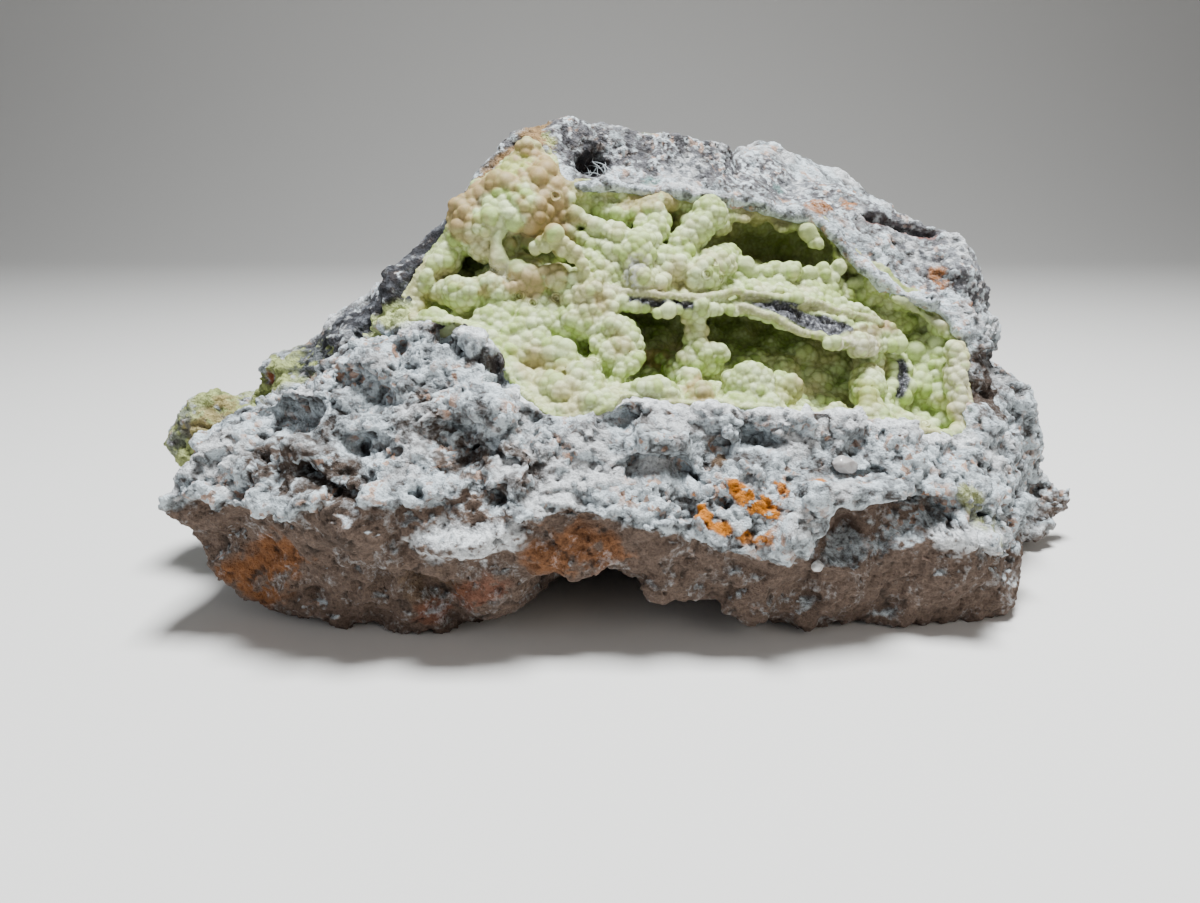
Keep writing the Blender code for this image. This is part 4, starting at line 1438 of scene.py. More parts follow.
@dataclass
class WavelliteCrust:
    """The crust that lines the vug, with its shelf and stems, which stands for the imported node. A ball's
    size and rise vary from the least share of the usual by the spread."""

    base_voxel: float = 0.5
    voxel: float = 0.4
    margin: int = 4
    back_reach: float = 0.95
    back_push: float = 0.75
    draw_in: float = 0.3
    seams_x: tuple[float, ...] = (-18.0, 12.0, 38.0)
    finish: Finish = WavelliteSkin("wavellite_botryoidal")
    usual_radius: float = 1.28
    usual_rise: float = 0.5
    size_least_spread: tuple[float, float] = (0.75, 0.6)
    rise_least_spread: tuple[float, float] = (0.6, 0.8)
    spacing: float = 1.05
    round_share: float = 0.9
    round_reach: tuple[float, float] = (0.12, 0.4)
    crevice_width: float = 0.4
    neighbours: int = 5
    hump: tuple[float, float] = (5.5, 1.1)
    stem_wander: tuple[float, float, int] = (0.5, 3.0, 64)
    ridge_gap: float = 0.95
    core_depth: float = 1.1
    hole_depth: float = 2.2
    ring_lift: float = 0.3
    growths: dict[str, Growth] = field(default_factory=lambda: {
        "left_column": Growth(((-31, -11.5, 78.5, 1.6), (-31.2, -12.5, 76.5, 1.0), (-31.2, -12.8, 74.5, 1.0),
                               (-31.2, -13.2, 72, 2.0)), True),
        "tan_rod": Growth(((-28, -13, 70, 1.9), (-25, -13.5, 69, 2.2), (-21.5, -13.5, 68.5, 2.2),
                           (-18.5, -13.5, 68, 2.0))),
        "arch": Growth(((-23.5, -13, 73.5, 0.8), (-22, -14, 75, 0.8), (-20.5, -14.5, 76, 0.8),
                        (-18.5, -15, 76, 0.8), (-16.5, -15.5, 74.5, 0.8), (-15, -16, 73, 0.8),
                        (-13.5, -16.5, 70.5, 0.8), (-12.5, -17, 68.5, 0.8)), True, 3),
        "upper_blade": Growth(((-21, -5, 83, 1.5), (-17, -8, 81, 1.0), (-13.5, -9, 79.7, 1.0),
                               (-10, -10, 78.2, 1.1), (-6, -10.5, 76, 1.8))),
        "lower_blade": Growth(((-21, -6, 79.5, 1.5), (-18, -8, 78.7, 1.1), (-14.5, -9.5, 76.6, 1.0),
                               (-10.5, -11, 75, 1.1), (-6.5, -11.5, 73.5, 1.8))),
        "rim_cluster": Growth(((-16.5, -3.5, 85, 2.2), (-12, -1.5, 83.5, 2.2), (-8.5, -2, 82, 2.2),
                               (-5, -3, 80.5, 2.0))),
        "knob": Growth(((-2, -14.5, 67.5, 3.2), (-3, -12, 71, 3.4), (-2, -11, 74.5, 2.7),
                        (0.5, -9, 76, 2.2))),
        "knob_neck": Growth(((1.5, -8, 77.5, 1.9), (2.5, -5.5, 79.5, 1.9), (1, -3.5, 82, 2.0))),
        "rim_balls": Growth(((-2.5, -4, 81, 1.9), (0.5, -4, 82.5, 2.1), (3, -3, 83.5, 1.9),
                             (6, -1.5, 83, 1.9))),
        "club": Growth(((6.5, -9, 72, 3.0), (8, -7.5, 75, 3.0), (10.5, -5.5, 78, 2.9), (13, -3, 80.5, 2.9),
                        (14, -1, 81.5, 2.4))),
        "club_foot": Growth(((4, -10, 71, 3.4), (6.5, -11, 70.5, 2.6), (8.5, -8.5, 73.5, 2.4))),
        "rosette": Growth(((11, -12, 68.5, 2.6), (13.5, -9.5, 70, 3.2), (16, -6.5, 71.5, 2.6),
                           (18, -4, 72.5, 1.8))),
        "left_ridge": Growth(((-45, -11.5, 65.5, 1.6), (-41, -13, 65.5, 1.9), (-37, -15.5, 66, 2.0),
                              (-33, -15, 67, 2.0), (-30.5, -15.5, 65.5, 1.9))),
        "rod_foot": Growth(((-15.5, -16, 64, 2.0), (-11, -16, 67, 2.3), (-8, -16, 66, 2.0))),
        "stem_balls": Growth(((-15, -18, 61, 2.0), (-11, -18, 61, 2.5), (-8.5, -18, 62.5, 2.0))),
        "grainy_knob": Growth(((-10, -20, 58.5, 2.2), (-7, -20, 58.5, 2.9), (-4, -21.5, 56.5, 2.5),
                               (-7, -22.5, 55, 2.4))),
        "slope_ridge": Growth(((-29, -20.5, 58, 1.7), (-25, -18.5, 59, 1.9), (-20.5, -17.5, 59.5, 1.9),
                               (-16.5, -17.5, 59, 1.8))),
        "low_cluster": Growth(((-20, -28, 48.5, 2.4), (-17.5, -29, 48, 2.6), (-15, -29, 48.5, 2.0))),
        "middle_cluster": Growth(((-12, -26.5, 51.5, 2.2), (-13.5, -28, 49.5, 2.0), (-11, -29.5, 49, 2.2))),
        "tan_string": Growth(((-1, -8, 51.5, 1.7), (3, -9, 50, 1.8), (6, -12, 49, 1.7), (8, -19, 48, 1.7),
                              (9.5, -26, 48, 1.6), (11, -29, 47.5, 1.6))),
        "tan_lump": Growth(((-2, -30, 48, 2.2), (1, -29, 48, 2.2), (4, -30, 47, 2.0))),
        "drop": Growth(((10.5, -16.5, 62.5, 1.8), (10.5, -16, 60, 1.2), (10.5, -15.5, 57.5, 1.1),
                        (10, -16, 55, 1.2))),
        "drop_lumps": Growth(((9.5, -17, 53.5, 2.0), (10.5, -17, 51.5, 2.0), (12.5, -16.5, 52, 1.9),
                              (14.5, -14, 50, 1.9))),
        "round_lump": Growth(((18, -25, 49, 2.2), (20.5, -25, 49.5, 2.8), (23, -25, 48.5, 2.2),
                              (20.5, -27, 47.5, 2.2))),
        "bead_1": Growth(((21.5, -5.5, 70, 1.9), (23, -6, 69, 1.9)), True),
        "bead_2": Growth(((31.5, -5, 69, 2.1),), True),
        "bead_3": Growth(((36, -4, 68.5, 1.8),), True),
        "bead_4": Growth(((43, -1.5, 69.5, 2.3),), True),
        "bead_5": Growth(((47.5, 0.5, 66, 1.8),), True),
        "left_lip": Growth(((-10, -16.5, 67, 0.9), (-5, -17, 66.3, 0.9), (1, -17, 65.5, 0.9),
                            (8, -17, 64.8, 0.9), (13.5, -15.5, 64.8, 1.0), (19, -13.5, 65.4, 0.9))),
        "upper_lip": Growth(((19, -13.5, 65.4, 0.9), (24, -13.5, 64.8, 0.8), (30, -13.5, 64.2, 0.9),
                             (38, -11.5, 62.3, 0.9), (44, -11, 60.3, 0.9), (51, -9, 58.4, 1.0))),
        "lower_lip": Growth(((20, -15.5, 62.6, 0.9), (26, -16.5, 60.8, 0.9), (32, -18, 58, 0.9),
                             (38, -18.5, 56, 1.0), (43, -17, 55, 1.2), (48, -14, 54, 1.6))),
        "window_knob": Growth(((56, -6.5, 48.5, 2.8), (56, -9, 46, 3.0), (54.5, -12, 43.5, 2.8))),
        "column_1": Growth(((49, -9, 51, 2.4), (49, -10, 48, 2.4), (47, -18, 45.5, 2.6))),
        "column_2": Growth(((62, -3, 52, 2.4), (62, -5, 48, 2.4), (61, -9, 44, 2.4))),
        "finger_1": Growth(((65.5, -3, 54, 1.7), (66, -6, 50, 1.7), (66, -8, 46, 1.8), (66, -11, 42, 1.8))),
        "finger_2": Growth(((67.5, -11, 53, 1.5), (67.5, -14.5, 47.5, 1.6), (67, -18, 42, 1.7))),
        "flap": Growth(((55, -5, 63.5, 0.9), (59.5, -4, 61, 0.8), (63, -5, 58.5, 0.8),
                        (66, -7.5, 57, 0.9)), True),
        "hanging_flap": Growth(((36, 2.5, 77.5, 1.8), (38, 2.5, 75.5, 1.6), (39.5, 2, 73.5, 1.0)), True),
    })
    cores: tuple[tuple[Bead, ...], ...] = (
        ((21, -14.5, 64.3, 0.5), (27, -15, 62.7, 1.3), (33, -15.5, 60.8, 2.1), (38.5, -15.5, 59, 2.2),
         (43, -14, 57.8, 1.0)),
        ((-4, -17.5, 64.4, 0.4), (3, -17.5, 63.7, 0.7), (9, -17.5, 63.2, 0.5)),
        ((56.5, -9.5, 49, 1.1), (56.5, -12, 46.3, 1.3), (55, -14.5, 44, 1.0)),
    )
    rings: tuple[Bead, ...] = (
        (-26.0, -15.0, 65.0, 1.5), (-23.5, -15.0, 63.3, 1.3), (-19.0, -15.2, 64.3, 1.5),
        (-11.7, -27.0, 53.0, 1.6), (11.5, -14.0, 69.0, 1.4), (13.6, -12.3, 71.0, 1.3),
        (14.5, -12.0, 68.4, 1.2), (-20.0, -8.0, 84.0, 1.4), (-32.0, -13.0, 70.0, 1.3),
        (-16.5, -28.5, 50.5, 1.2), (58.5, -23.0, 41.0, 1.4),
    )
    hole: Bead = (-18.8, -25.5, 53.7, 0.9)
    hollows: tuple[Touch, ...] = (
        Touch(((-29, -12, 75.5), (-22, -10.5, 73.5)), 4.4, (0, 7.0, 0)),
        Touch(((-14, -3.5, 84),), 2.0, (0, 4.0, 0)),
        Touch(((-8.5, -27, 52), (-9, -30, 49.5)), 2.4, (0, 4.0, -0.5)),
    )
    patches: tuple[BallPatch, ...] = (
        BallPatch(((-36, -6, 82), (-27, -4, 89), (-24, -8, 82)), 10.0, 1.9, 0.75),
        BallPatch(UPPER_LIP, 2.0, 0.5, 0.15),
        BallPatch(LOWER_LIP, 2.0, 0.5, 0.15),
        BallPatch(((14, 4, 56), (40, 6, 56)), 12.0, 0.8, 0.25),
        BallPatch(((20, 14, 76), (46, 14, 76)), 11.0, 0.9, 0.12),
        BallPatch(((60, -12, 52), (66, -18, 44)), 9.0, 1.6, 0.6),
        BallPatch(((-24, -24, 54), (-16, -26, 52)), 6.0, 1.6, 0.6),
        BallPatch(((4, -10, 72), (0, -6, 81)), 6.0, 1.5, 0.6),
        BallPatch(((-8, -21, 57),), 4.0, 0.7, 0.35),
        BallPatch(((-28, -13, 70), (-18, -14, 68)), 3.5, 1.9, 0.4),
        BallPatch(((7, -9, 74), (14, -1, 82)), 4.2, 1.6, 0.3),
        BallPatch(((-21, -5, 81), (-6, -11, 75)), 2.6, 0.6, 0.25),
        BallPatch(((-14, -5.5, 85), (9, -1.5, 83), (28, 4.5, 79.5), (41, 3, 76), (51, -3, 66), (66, -6, 60),
                   (69, -10, 52)), 3.6, 0.7, 0.2),
        BallPatch(((20, -26, 49),), 4.0, 0.8, 0.35),
    )
    stains: tuple[StainPatch, ...] = (
        StainPatch(Stain.TAN_CRUST, ((-38, -8, 82), (-32, -4, 88), (-25, -4, 92), (-22, -6, 86),
                                     (-22, -10, 80)),
                   8.0, 0.88, 6.0, 1.3),
        StainPatch(Stain.TAN_CRUST, ((-37, -15, 66), (-28, -15, 68), (-19, -15, 68.5)), 3.6, 0.75, 3.0),
        StainPatch(Stain.TAN_CRUST, ((0, -9, 51), (6, -13, 49), (9, -22, 48), (11, -30, 47)), 3.2, 0.8, 3.0),
        StainPatch(Stain.TAN_CRUST, ((-2, -4, 82), (4, -3, 84)), 4.5, 0.7, 3.0),
        StainPatch(Stain.TAN_CRUST, ((-11, -17, 66), (-9, -18, 61)), 3.5, 0.5, 3.0),
        StainPatch(Stain.TAN_CRUST, ((-6, -21, 58), (-6, -23, 55)), 3.4, 0.5, 2.0),
        StainPatch(Stain.TAN_CRUST, ((30, -26, 47), (45, -24, 46)), 5.0, 0.35, 3.0),
        StainPatch(Stain.TAN_CRUST, ((-24, -24, 54), (-18, -28, 50)), 5.0, 0.35, 3.0),
        StainPatch(Stain.LIME_CRUST, ((-30, -4, 90), (-27, -4, 90)), 4.0, 0.8, 2.0),
        StainPatch(Stain.SLATE, ((-34, -9, 83), (-32, -10, 81)), 2.4, 0.6, 1.0),
        StainPatch(Stain.PALE_CRUST, ((-10, -17, 67), *UPPER_LIP[1:]), 1.8, 0.6, 0.8),
        StainPatch(Stain.PALE_CRUST, LOWER_LIP, 1.7, 0.6, 0.8),
        StainPatch(Stain.PALE_CRUST, ((40, -18, 55.5), (47, -15, 54)), 3.2, 0.9, 0.8),
        StainPatch(Stain.CHALK, ((-3, -16, 69), (-3, -15, 72)), 2.6, 0.85, 0.8),
        StainPatch(Stain.DARK_GRAIN_AND_SHADE, ((-3, -16, 69), (-3, -15, 72)), 2.0, 0.7, 0.6),
        StainPatch(Stain.PALE_CRUST, ((12, -13, 69), (15, -11, 71)), 2.8, 0.5, 0.8),
        StainPatch(Stain.PALE_CRUST, ((-32, -13, 71), (-29, -14, 69)), 2.6, 0.8, 0.8),
        StainPatch(Stain.PALE_LIME, ((-23, -13.5, 74), (-20, -14.5, 76), (-16.5, -15.5, 74.5),
                                     (-12.5, -17, 68.5)), 2.0, 0.7),
        StainPatch(Stain.PALE_CRUST, ((-7, -21, 59.5),), 3.0, 0.5, 0.8),
        StainPatch(Stain.PALE_CRUST, ((67, -14, 50), (67, -20, 42)), 4.0, 0.7, 1.2),
        StainPatch(Stain.COPPER_BLOOM, ((56, -5, 63), (65, -7, 58)), 1.8, 0.45, 1.0),
        StainPatch(Stain.BROWN, ((43, -15, 57.5), (50, -11, 57), (55, -8, 56.5)), 1.8, 0.8, 1.5),
        StainPatch(Stain.RUST, ((50, -9.5, 57.5), (56, -6, 57)), 2.0, 0.7, 1.2),
    )

    def blank(self) -> bpy.types.Object:
        """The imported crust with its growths, grown back on to the rock and drawn in a little in front.

        Returns:
            The crust before its balls.
        """
        crust = copy_of_node("crust", "wavellite_crust")
        points, outward = points_of(crust), outward_of(crust)
        gap = distance_to_faces(points, tree_of(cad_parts["matrix"]), 3.0)
        points += outward * np.where(gap < self.back_reach, self.back_push, -self.draw_in)[:, None]
        move_points(crust, points)
        crust = fused(crust, self.base_voxel)
        points = points_of(crust)
        for hollow in self.hollows:
            share = smooth_step(-distance_to_path(points, hollow.path) / hollow.radius, -1.0, -0.4)
            points += share[:, None] * np.array(hollow.push)
        move_points(crust, points)
        beads = []
        for growth in self.growths.values():
            spine = strung(growth.beads)
            far, size, seed = self.stem_wander
            spine[:, :3] += far * soft_drift(spine[:, :3], size, seed)
            spine[:, 3] *= 1 + 0.25 * soft_noise(spine[:, :3], 2.4, 61)
            for ridge in range(growth.ridges):
                beads.append(spine + (0.0, 0.0, (ridge - (growth.ridges - 1) / 2) * self.ridge_gap, 0.0))
        crust = fused(joined("crust", [crust, balls("growths", np.vstack(beads))]), self.base_voxel)
        crust = modified(crust, "SMOOTH", factor=0.5, iterations=2)
        self.swell(crust)
        return crust

    def swell(self, crust: bpy.types.Object) -> None:
        """Gives the plain stretches low humps, and cuts the cores and the hole in.

        Args:
            crust: The crust before its balls.
        """
        points, outward = points_of(crust), outward_of(crust)
        size, height = self.hump
        near, _, own, _ = grains(points, size, 27)
        _, rise = self.ball_size(points)
        plain = smooth_step(distance_to_faces(points, tree_of(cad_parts["matrix"]), 3.0), 1.2, 2.4)
        plain = plain * (self.smoothness(points) > 1.0) * smooth_step(rise, 0.15, 0.4)
        move = height * domed(near) * (0.4 + own) * plain
        move -= self.core_depth * smooth_step(-self.coreness(points), -0.4, 0.4)
        x, y, z, radius = self.hole
        away = np.linalg.norm(points - (x, y, z), axis=1)
        move -= self.hole_depth * smooth_step(-away, -1.4 * radius, -0.5 * radius)
        move_points(crust, points + outward * move[:, None])

    def smoothness(self, points: np.ndarray) -> np.ndarray:
        """Distance from each point to the nearest growth that carries no balls."""
        smooth = [growth.beads for growth in self.growths.values() if growth.smooth]
        return np.min([outside(points, beads) for beads in smooth], axis=0)

    def coreness(self, points: np.ndarray) -> np.ndarray:
        """Distance from each point to the nearest place where the rock under the crust shows."""
        return np.min([outside(points, core) for core in self.cores], axis=0)

    def ball_size(self, points: np.ndarray) -> tuple[np.ndarray, np.ndarray]:
        """How large the balls are at each place, and how far they rise.

        Args:
            points: Places in mm, one to a row.

        Returns:
            Radius and rise in mm for each point.
        """
        vary = 1 + 0.3 * soft_noise(points, 5.0, 83)
        radius = self.usual_radius * vary
        rise = np.full(len(points), self.usual_rise)
        for patch in self.patches:
            share = smooth_step(-distance_to_path(points, patch.path) / patch.reach, -1.0, -0.7)
            radius += (patch.radius * vary - radius) * share
            rise += (patch.rise - rise) * share
        return radius, rise

    def seeds(self, base: bpy.types.Object, rock: BVHTree) -> np.ndarray:
        """Picks where the balls grow: spread evenly over the faces that look into the vug.

        Args:
            base: The crust before its balls.
            rock: Search tree of the rock behind it.

        Returns:
            The balls as place and radius in mm.
        """
        points, outward = points_of(base), outward_of(base)
        free = ~covered(points, outward, rock, 2.2)
        free &= (self.smoothness(points) > 0.45) & (self.coreness(points) > 0.6)
        free &= np.linalg.norm(points - self.hole[:3], axis=1) > self.hole[3] + 0.3
        radius, rise = self.ball_size(points)
        edge = 0.4 + 0.6 * smooth_step(distance_to_faces(points, rock, 3.0), 0.9, 2.2)
        radius, rise = radius * edge, rise * edge
        tree = places_tree(points)
        order = np.argsort(lattice(np.arange(len(points))[:, None] * (1, 3, 7), 5))
        taken = ~free
        chosen = []
        for index in order:
            if not taken[index]:
                chosen.append(index)
                for _, near, _ in tree.find_range(points[index], radius[index] * self.spacing):
                    taken[near] = True
        chosen = np.array(chosen)
        vary = lattice(chosen[:, None] * (5, 1, 9), 8)
        least, spread = self.size_least_spread
        size = radius[chosen] * (least + spread * vary**1.5)
        least, spread = self.rise_least_spread
        middles = points[chosen] + outward[chosen] * (rise[chosen] * (least + spread * vary) - size)[:, None]
        return np.column_stack((middles, size))

    def settle(self, crust: bpy.types.Object, beads: np.ndarray) -> None:
        """Rounds each ball truly, and keeps its tone and the crevices between the balls.

        Args:
            crust: The fused crust.
            beads: The balls as place and radius in mm.
        """
        middles, radii = beads[:, :3], beads[:, 3]
        tree = places_tree(middles)
        points = points_of(crust)
        near = np.array([[index for _, index, _ in tree.find_n(point, self.neighbours)] for point in points])
        offsets = points[:, None, :] - middles[near]
        lengths = np.linalg.norm(offsets, axis=2)
        above = lengths - radii[near]
        best = np.argmin(above, axis=1)
        rows = np.arange(len(points))
        level = above[rows, best]
        target = middles[near[rows, best]] + offsets[rows, best] * (
            radii[near[rows, best]] / np.maximum(lengths[rows, best], 1e-6))[:, None]
        hold = self.round_share * (1 - smooth_step(np.abs(level), *self.round_reach))
        moved = points + (target - points) * hold[:, None]
        ordered = np.sort(above, axis=1)
        on_ball = 1 - smooth_step(np.abs(level), 0.1, 0.5)
        # Where balls meet, and on the crust between them: darkened in the material, partly painted shade.
        crevice = 1 - smooth_step(ordered[:, 1] - ordered[:, 0], 0.0, self.crevice_width)
        bare = 0.25 + 0.25 * soft_noise(points, 1.6, 29)
        tone = lattice(near[rows, best][:, None] * (3, 11, 5), 17)
        write_values(crust, "tone", np.where(on_ball > 0.5, tone, 0.6))
        write_values(crust, "crevice", np.where(on_ball > 0.5, crevice, bare))
        ring = np.full(len(points), 9.0)
        outward = outward_of(crust)
        lift = 0.1 * soft_noise(points, 1.3, 43) + 0.35 * (on_ball < 0.5) * layered_noise(points, 2.2, 44)
        for x, y, z, radius in self.rings:
            away = np.linalg.norm(points - (x, y, z), axis=1)
            away = np.linalg.norm(points - points[np.argmin(away)], axis=1)
            ring = np.minimum(ring, away + 9.0 * smooth_step(away, radius, radius + 0.3))
            brim = np.exp(-(((away - 0.75 * radius) / 0.4) ** 2))
            lift += self.ring_lift * brim - self.ring_lift * np.exp(-((away / 0.5) ** 2))
        write_values(crust, "ring", ring)
        core = smooth_step(-self.coreness(points), -0.7, 0.0)
        lift += core * 0.5 * soft_noise(points, 1.1, 47)
        move_points(crust, moved + outward * lift[:, None])
        write_values(crust, "core", core)

    def tint(self, crust: bpy.types.Object) -> None:
        """Keeps the stains of the crust, and how deep in the vug it is.

        Args:
            crust: The fused crust.
        """
        points = points_of(crust)
        start = np.tile(Stain.TAN_CRUST.light, (len(points), 1))
        colour, cover = lay_stains(points, self.stains, start, np.zeros(len(points)))
        write_values(crust, "stain", np.column_stack((colour, cover)))
        # How deep in the vug: made darker olive, partly painted shade.
        depth = smooth_step(points[:, 1], -10.0, 8.0) * smooth_step(-points[:, 2], -86, -78)
        write_values(crust, "depth", depth)

    def thin_the_back(self, crust: bpy.types.Object, rock: BVHTree) -> None:
        """Thins out the faces that lie against the rock, where nothing shows.

        Args:
            crust: The fused crust.
            rock: Search tree of the rock behind it.
        """
        points = points_of(crust)
        hidden = distance_to_faces(points, rock, 2.0) < 0.6
        hidden &= covered(points, outward_of(crust), rock, 1.5)
        edges = np.empty(len(crust.data.edges) * 2, np.int32)
        crust.data.edges.foreach_get("vertices", edges)
        edges = edges.reshape(-1, 2)
        for _ in range(self.margin):
            beside_shown = ~hidden[edges].all(axis=1)
            hidden[edges[beside_shown].ravel()] = False
        group = crust.vertex_groups.new(name="back")
        group.add(np.nonzero(hidden)[0].tolist(), 1.0, "REPLACE")
        share = 1 - 0.85 * hidden.mean()
        modified(crust, "DECIMATE", ratio=share, vertex_group="back", vertex_group_factor=1.0)
        crust.vertex_groups.clear()

    def build(self) -> list[bpy.types.Object]:
        """Builds and dresses the crust.

        Returns:
            Its pieces from left to right.
        """
        rock = tree_of(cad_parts["matrix"])
        base = self.blank()
        beads = self.seeds(base, rock)
        log.info("%d balls", len(beads))
        crust = fused(joined("crust", [base, balls("balls", beads)]), self.voxel)
        self.settle(crust, beads)
        self.tint(crust)
        self.thin_the_back(crust, rock)
        write_values(crust, "outward", outward_of(crust))
        node = "wavellite_crust"
        return [finished(shaded(piece), self.finish, node, node) for piece in sliced(crust, self.seams_x)]


# ---- what stands on the rock


def nearest_on(rock: Sequence[BVHTree], point: Point) -> tuple[Vector, Vector]:
    """The place on the rock that is nearest to a point.

    Args:
        rock: Search trees of the finished pieces of rock.
        point: A place in mm.

    Returns:
        The nearest place and the direction outwards there, in metres.
    """
    found = [tree.find_nearest(Vector(point) * MM) for tree in rock]
    place, outward, _, _ = min(found, key=lambda hit: hit[3])
    return place, outward


@dataclass(frozen=True)
class Grain:
    """A grain that stands out of the rock: its place, size and turn, in mm and degrees."""

    name: str
    middle: Point
    size: Point
    turn: Point
    finish: Finish


@dataclass
class LooseGrains:
    """The milky quartz grain and the small chalky one on the rock's front, each broken to flat faces."""

    grains: tuple[Grain, ...] = (
        Grain("quartz_grain", (37, -40, 36), (5.4, 4.0, 3.6), (10, 15, 20),
              MilkyQuartz("quartz_milky", "B9B6B4")),
        Grain("white_grain", (32, -48, 18), (2.6, 2.2, 2.4), (30, 0, 40),
              MilkyQuartz("silica_chalky", "DFE2E2", 0.85)),
    )
    chamfer: float = 0.12
    breaks: tuple[tuple[float, float, float, float], ...] = (
        (1, 0.2, 0.3, 0.62), (-0.9, 0.3, 0.4, 0.66), (0.1, -1, 0.3, 0.60), (-0.4, -0.9, -0.5, 0.68),
        (0.3, 0.1, 1, 0.62), (-0.3, -0.5, 0.9, 0.70), (0.6, -0.7, 0.2, 0.72), (0.2, -0.3, -1, 0.66),
    )
    out: float = 0.18

    def grain(self, grain: Grain, rock: Sequence[BVHTree]) -> bpy.types.Object:
        """Models one grain, sunk into the rock.

        Args:
            grain: The grain.
            rock: Search trees of the finished pieces of rock.

        Returns:
            The grain.
        """
        place, outward = nearest_on(rock, grain.middle)
        bpy.ops.object.select_all(action="DESELECT")
        bpy.ops.mesh.primitive_ico_sphere_add(subdivisions=3, radius=0.5)
        obj = bpy.context.object
        obj.name = obj.data.name = grain.name
        with editing(obj):
            for x, y, z, distance in self.breaks:
                side = Vector((x, y, z)).normalized()
                bpy.ops.mesh.select_all(action="SELECT")
                bpy.ops.mesh.bisect(
                    plane_co=side * distance * 0.5 / 0.8, plane_no=side, use_fill=True, clear_outer=True)
        obj.scale = Vector(grain.size) * MM
        obj.rotation_euler = [math.radians(turn) for turn in grain.turn]
        obj.location = place + outward * self.out * min(grain.size) * MM
        bpy.ops.object.transform_apply(location=True, rotation=True, scale=True)
        modified(obj, "BEVEL", width=self.chamfer * MM, segments=2, limit_method="ANGLE")
        pick(obj)
        bpy.ops.object.shade_smooth_by_angle(angle=math.radians(30))
        return finished(obj, grain.finish, "matrix")

    def build(self, rock: Sequence[BVHTree]) -> list[bpy.types.Object]:
        """Builds and dresses the grains.

        Args:
            rock: Search trees of the finished pieces of rock.

        Returns:
            The grains.
        """
        return [self.grain(grain, rock) for grain in self.grains]


@dataclass
class PitFibres:
    """Pale threads strung across the deep pit near the top, each from wall to wall. Places are mm."""

    runs: tuple[tuple[Point, Point], ...] = (
        ((-8.5, 4, 88.5), (-13, 10, 90.5)), ((-9.5, 4, 88), (-14.5, 9, 90)),
        ((-10.5, 4, 88), (-12, 11, 91.5)), ((-8, 5, 89.5), (-12.5, 11, 92)),
        ((-12.5, 4, 88), (-10.5, 10, 91.5)), ((-8, 6, 90.5), (-11, 11, 90)),
        ((-9, 5, 89), (-11, 10.5, 93)), ((-11.5, 4, 87.8), (-14, 9, 91.5)),
        ((-7.5, 4, 89), (-9.5, 9, 90)), ((-8, 4, 88), (-10, 9, 89)),
        ((-10, 4, 87.5), (-8.5, 9, 92)), ((-9, 4, 88), (-8, 8, 91)),
        ((-7.5, 5, 90), (-9, 9.5, 92.5)), ((-13.5, 4, 88), (-12, 9, 89.5)),
    )
    thickness: tuple[float, float] = (0.12, 0.3)
    rooted: float = 0.3
    bow: float = 1.8
    finish: Finish = SilkyFibre("wavellite_threads")

    def strand(self, number: int, ends: tuple[Point, Point], rock: Sequence[BVHTree]) -> bpy.types.Object:
        """Models one thread.

        Args:
            number: Which thread it is.
            ends: About where it starts and ends.
            rock: Search trees of the finished pieces of rock.

        Returns:
            The thread.
        """
        roots = []
        for end in ends:
            place, outward = nearest_on(rock, end)
            roots.append(place - outward * self.rooted * MM)
        bpy.ops.object.select_all(action="DESELECT")
        bpy.ops.curve.primitive_bezier_curve_add()
        curve = bpy.context.object
        for end, (bend, root) in enumerate(zip(curve.data.splines[0].bezier_points, roots)):
            turn = 2.4 * number + 1.7 * end
            sway = Vector((math.cos(turn), -0.4, math.sin(turn))) * self.bow * MM
            bend.handle_left_type = bend.handle_right_type = "FREE"
            bend.co = root
            bend.handle_left = bend.handle_right = root + (roots[1 - end] - root) * 0.35 + sway
        thin, thick = self.thickness
        curve.data.bevel_depth = (thin + (thick - thin) * (number * 0.618 % 1)) * MM / 2
        curve.data.bevel_resolution = 2
        curve.data.use_fill_caps = True
        bpy.ops.object.convert(target="MESH")
        strand = bpy.context.object
        with editing(strand):
            bpy.ops.mesh.select_all(action="SELECT")
            bpy.ops.mesh.remove_doubles(threshold=0.01 * MM)
            bpy.ops.mesh.normals_make_consistent(inside=False)
        bpy.ops.object.shade_smooth()
        return strand

    def build(self, rock: Sequence[BVHTree]) -> bpy.types.Object:
        """Builds and dresses the threads.

        Args:
            rock: Search trees of the finished pieces of rock.

        Returns:
            All the threads as one piece.
        """
        strands = [self.strand(number, ends, rock) for number, ends in enumerate(self.runs)]
        return finished(joined("pit_fibres", strands), self.finish, "wavellite_crust")


# ---- the studio


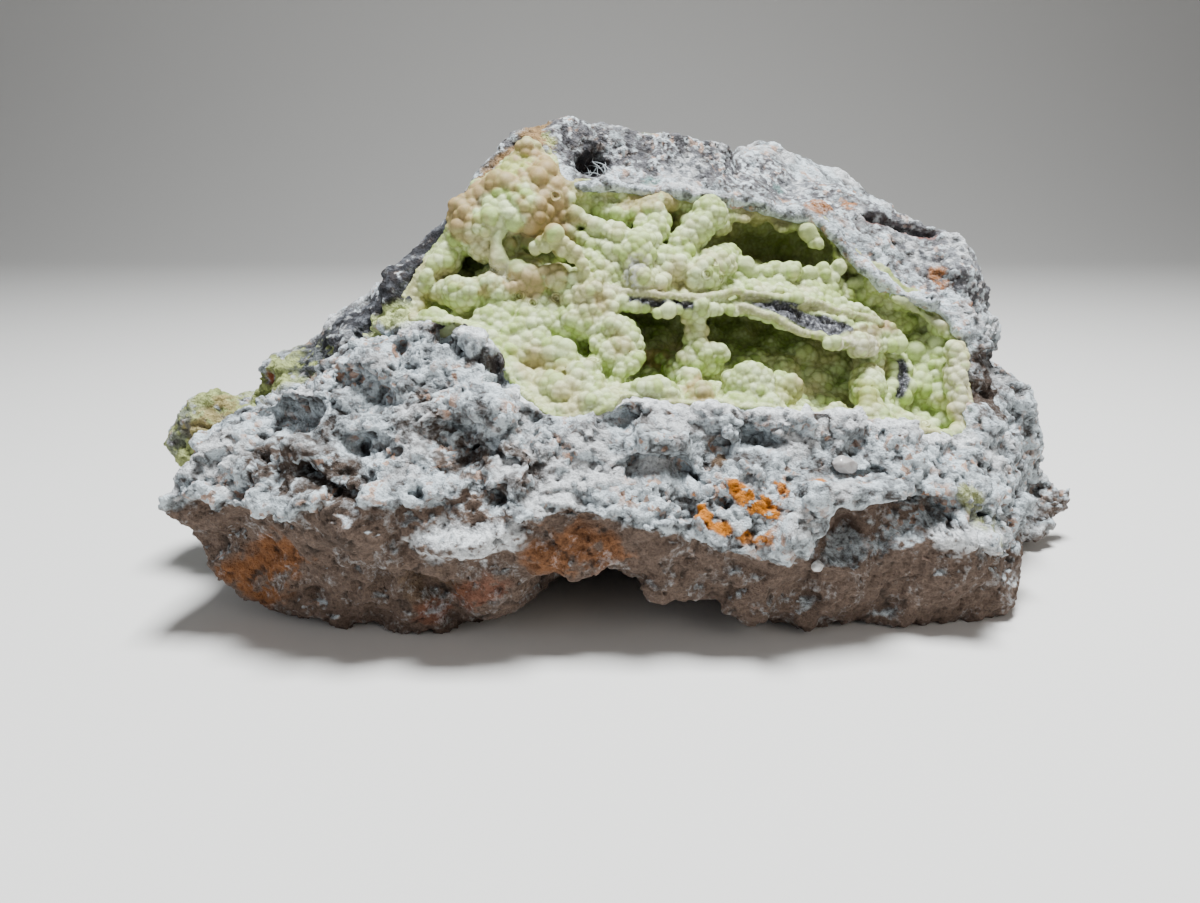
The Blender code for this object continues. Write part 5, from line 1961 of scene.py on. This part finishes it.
@dataclass
class Studio:
    """The paper under and behind the specimen, the lights and the camera. Lengths are metres."""

    paper: Finish = StudioPaper("studio_paper")
    half_width: float = 2.2
    sweep_start: float = 0.7
    sweep_radius: float = 0.5
    sweep_steps: int = 24
    height: float = 2.2
    eye: Point = (-0.00994, -0.19733, 0.090)
    pitch_deg: float = 72.0
    lens_mm: float = 26.01
    sensor_mm: float = 36.0
    clip_start: float = 0.01
    lights: tuple[tuple[Point, float, float, str], ...] = (
        ((0.05, 0.0, 0.64), 0.18, 13.0, "F8FCFF"),
        ((0.60, -0.55, 0.45), 0.60, 1.6, "FFF6EC"),
        ((-0.70, -0.45, 0.35), 0.60, 1.3, "F2F6FF"),
    )
    aim: Point = (0.0, 0.0, 0.045)
    sky: str = "E8EAEE"
    sky_strength: float = 0.17

    def lay_paper(self) -> bpy.types.Object:
        """Lays the paper flat and sweeps it up behind.

        Returns:
            The paper.
        """
        bpy.ops.object.select_all(action="DESELECT")
        bpy.ops.mesh.primitive_plane_add(
            size=2 * self.half_width, location=(0, self.sweep_start - self.half_width, 0))
        sheet = bpy.context.object
        sheet.name = "paper"
        with editing(sheet):
            bpy.ops.mesh.select_all(action="DESELECT")
        for edge in sheet.data.edges:
            edge.select = all(sheet.data.vertices[i].co.y > 0 for i in edge.vertices)
        bpy.context.tool_settings.mesh_select_mode = (False, True, False)
        with editing(sheet):
            before = (0.0, 0.0)
            for step in range(1, self.sweep_steps + 1):
                angle = math.radians(90 * step / self.sweep_steps)
                here = (self.sweep_radius * math.sin(angle), self.sweep_radius * (1 - math.cos(angle)))
                bpy.ops.mesh.extrude_region_move(
                    TRANSFORM_OT_translate={"value": (0, here[0] - before[0], here[1] - before[1])})
                before = here
            bpy.ops.mesh.extrude_region_move(TRANSFORM_OT_translate={"value": (0, 0, self.height)})
        bpy.ops.object.transform_apply(location=True)
        bpy.ops.object.shade_smooth()
        sheet.data.materials.append(self.paper.material())
        return sheet

    def hang_lights(self) -> None:
        """Hangs the soft boxes and sets the light of the room."""
        for index, (place, size, power, colour) in enumerate(self.lights):
            lamp = bpy.data.lights.new(f"soft_box_{index}", "AREA")
            lamp.size, lamp.energy, lamp.color = size, power, linear(colour)
            box = bpy.data.objects.new(lamp.name, lamp)
            box.location = place
            box.rotation_euler = (Vector(self.aim) - Vector(place)).to_track_quat("-Z", "Y").to_euler()
            bpy.context.scene.collection.objects.link(box)
        world = bpy.data.worlds.new("room")
        world.use_nodes = True
        feed(world.node_tree, world.node_tree.nodes["Background"],
             {"Color": (*linear(self.sky), 1), "Strength": self.sky_strength})
        bpy.context.scene.world = world

    def set_camera(self) -> None:
        """Stands the camera in front of the specimen and a little above it."""
        lens = bpy.data.cameras.new("camera")
        lens.lens, lens.sensor_width, lens.clip_start = self.lens_mm, self.sensor_mm, self.clip_start
        camera = bpy.data.objects.new("camera", lens)
        camera.location = self.eye
        camera.rotation_euler = (math.radians(self.pitch_deg), 0, 0)
        bpy.context.scene.collection.objects.link(camera)
        bpy.context.scene.camera = camera

    def build(self) -> None:
        """Sets up the studio."""
        self.lay_paper()
        self.hang_lights()
        self.set_camera()


def main() -> None:
    """Builds the specimen and the studio, and notes the sizes."""
    logging.basicConfig(level=logging.INFO, format="%(name)s: %(message)s")
    rock = [tree_of(piece) for piece in MatrixRock().build()]
    WavelliteCrust().build()
    LooseGrains().build(rock)
    PitFibres().build(rock)
    Studio().build()


if __name__ == "__main__":
    main()
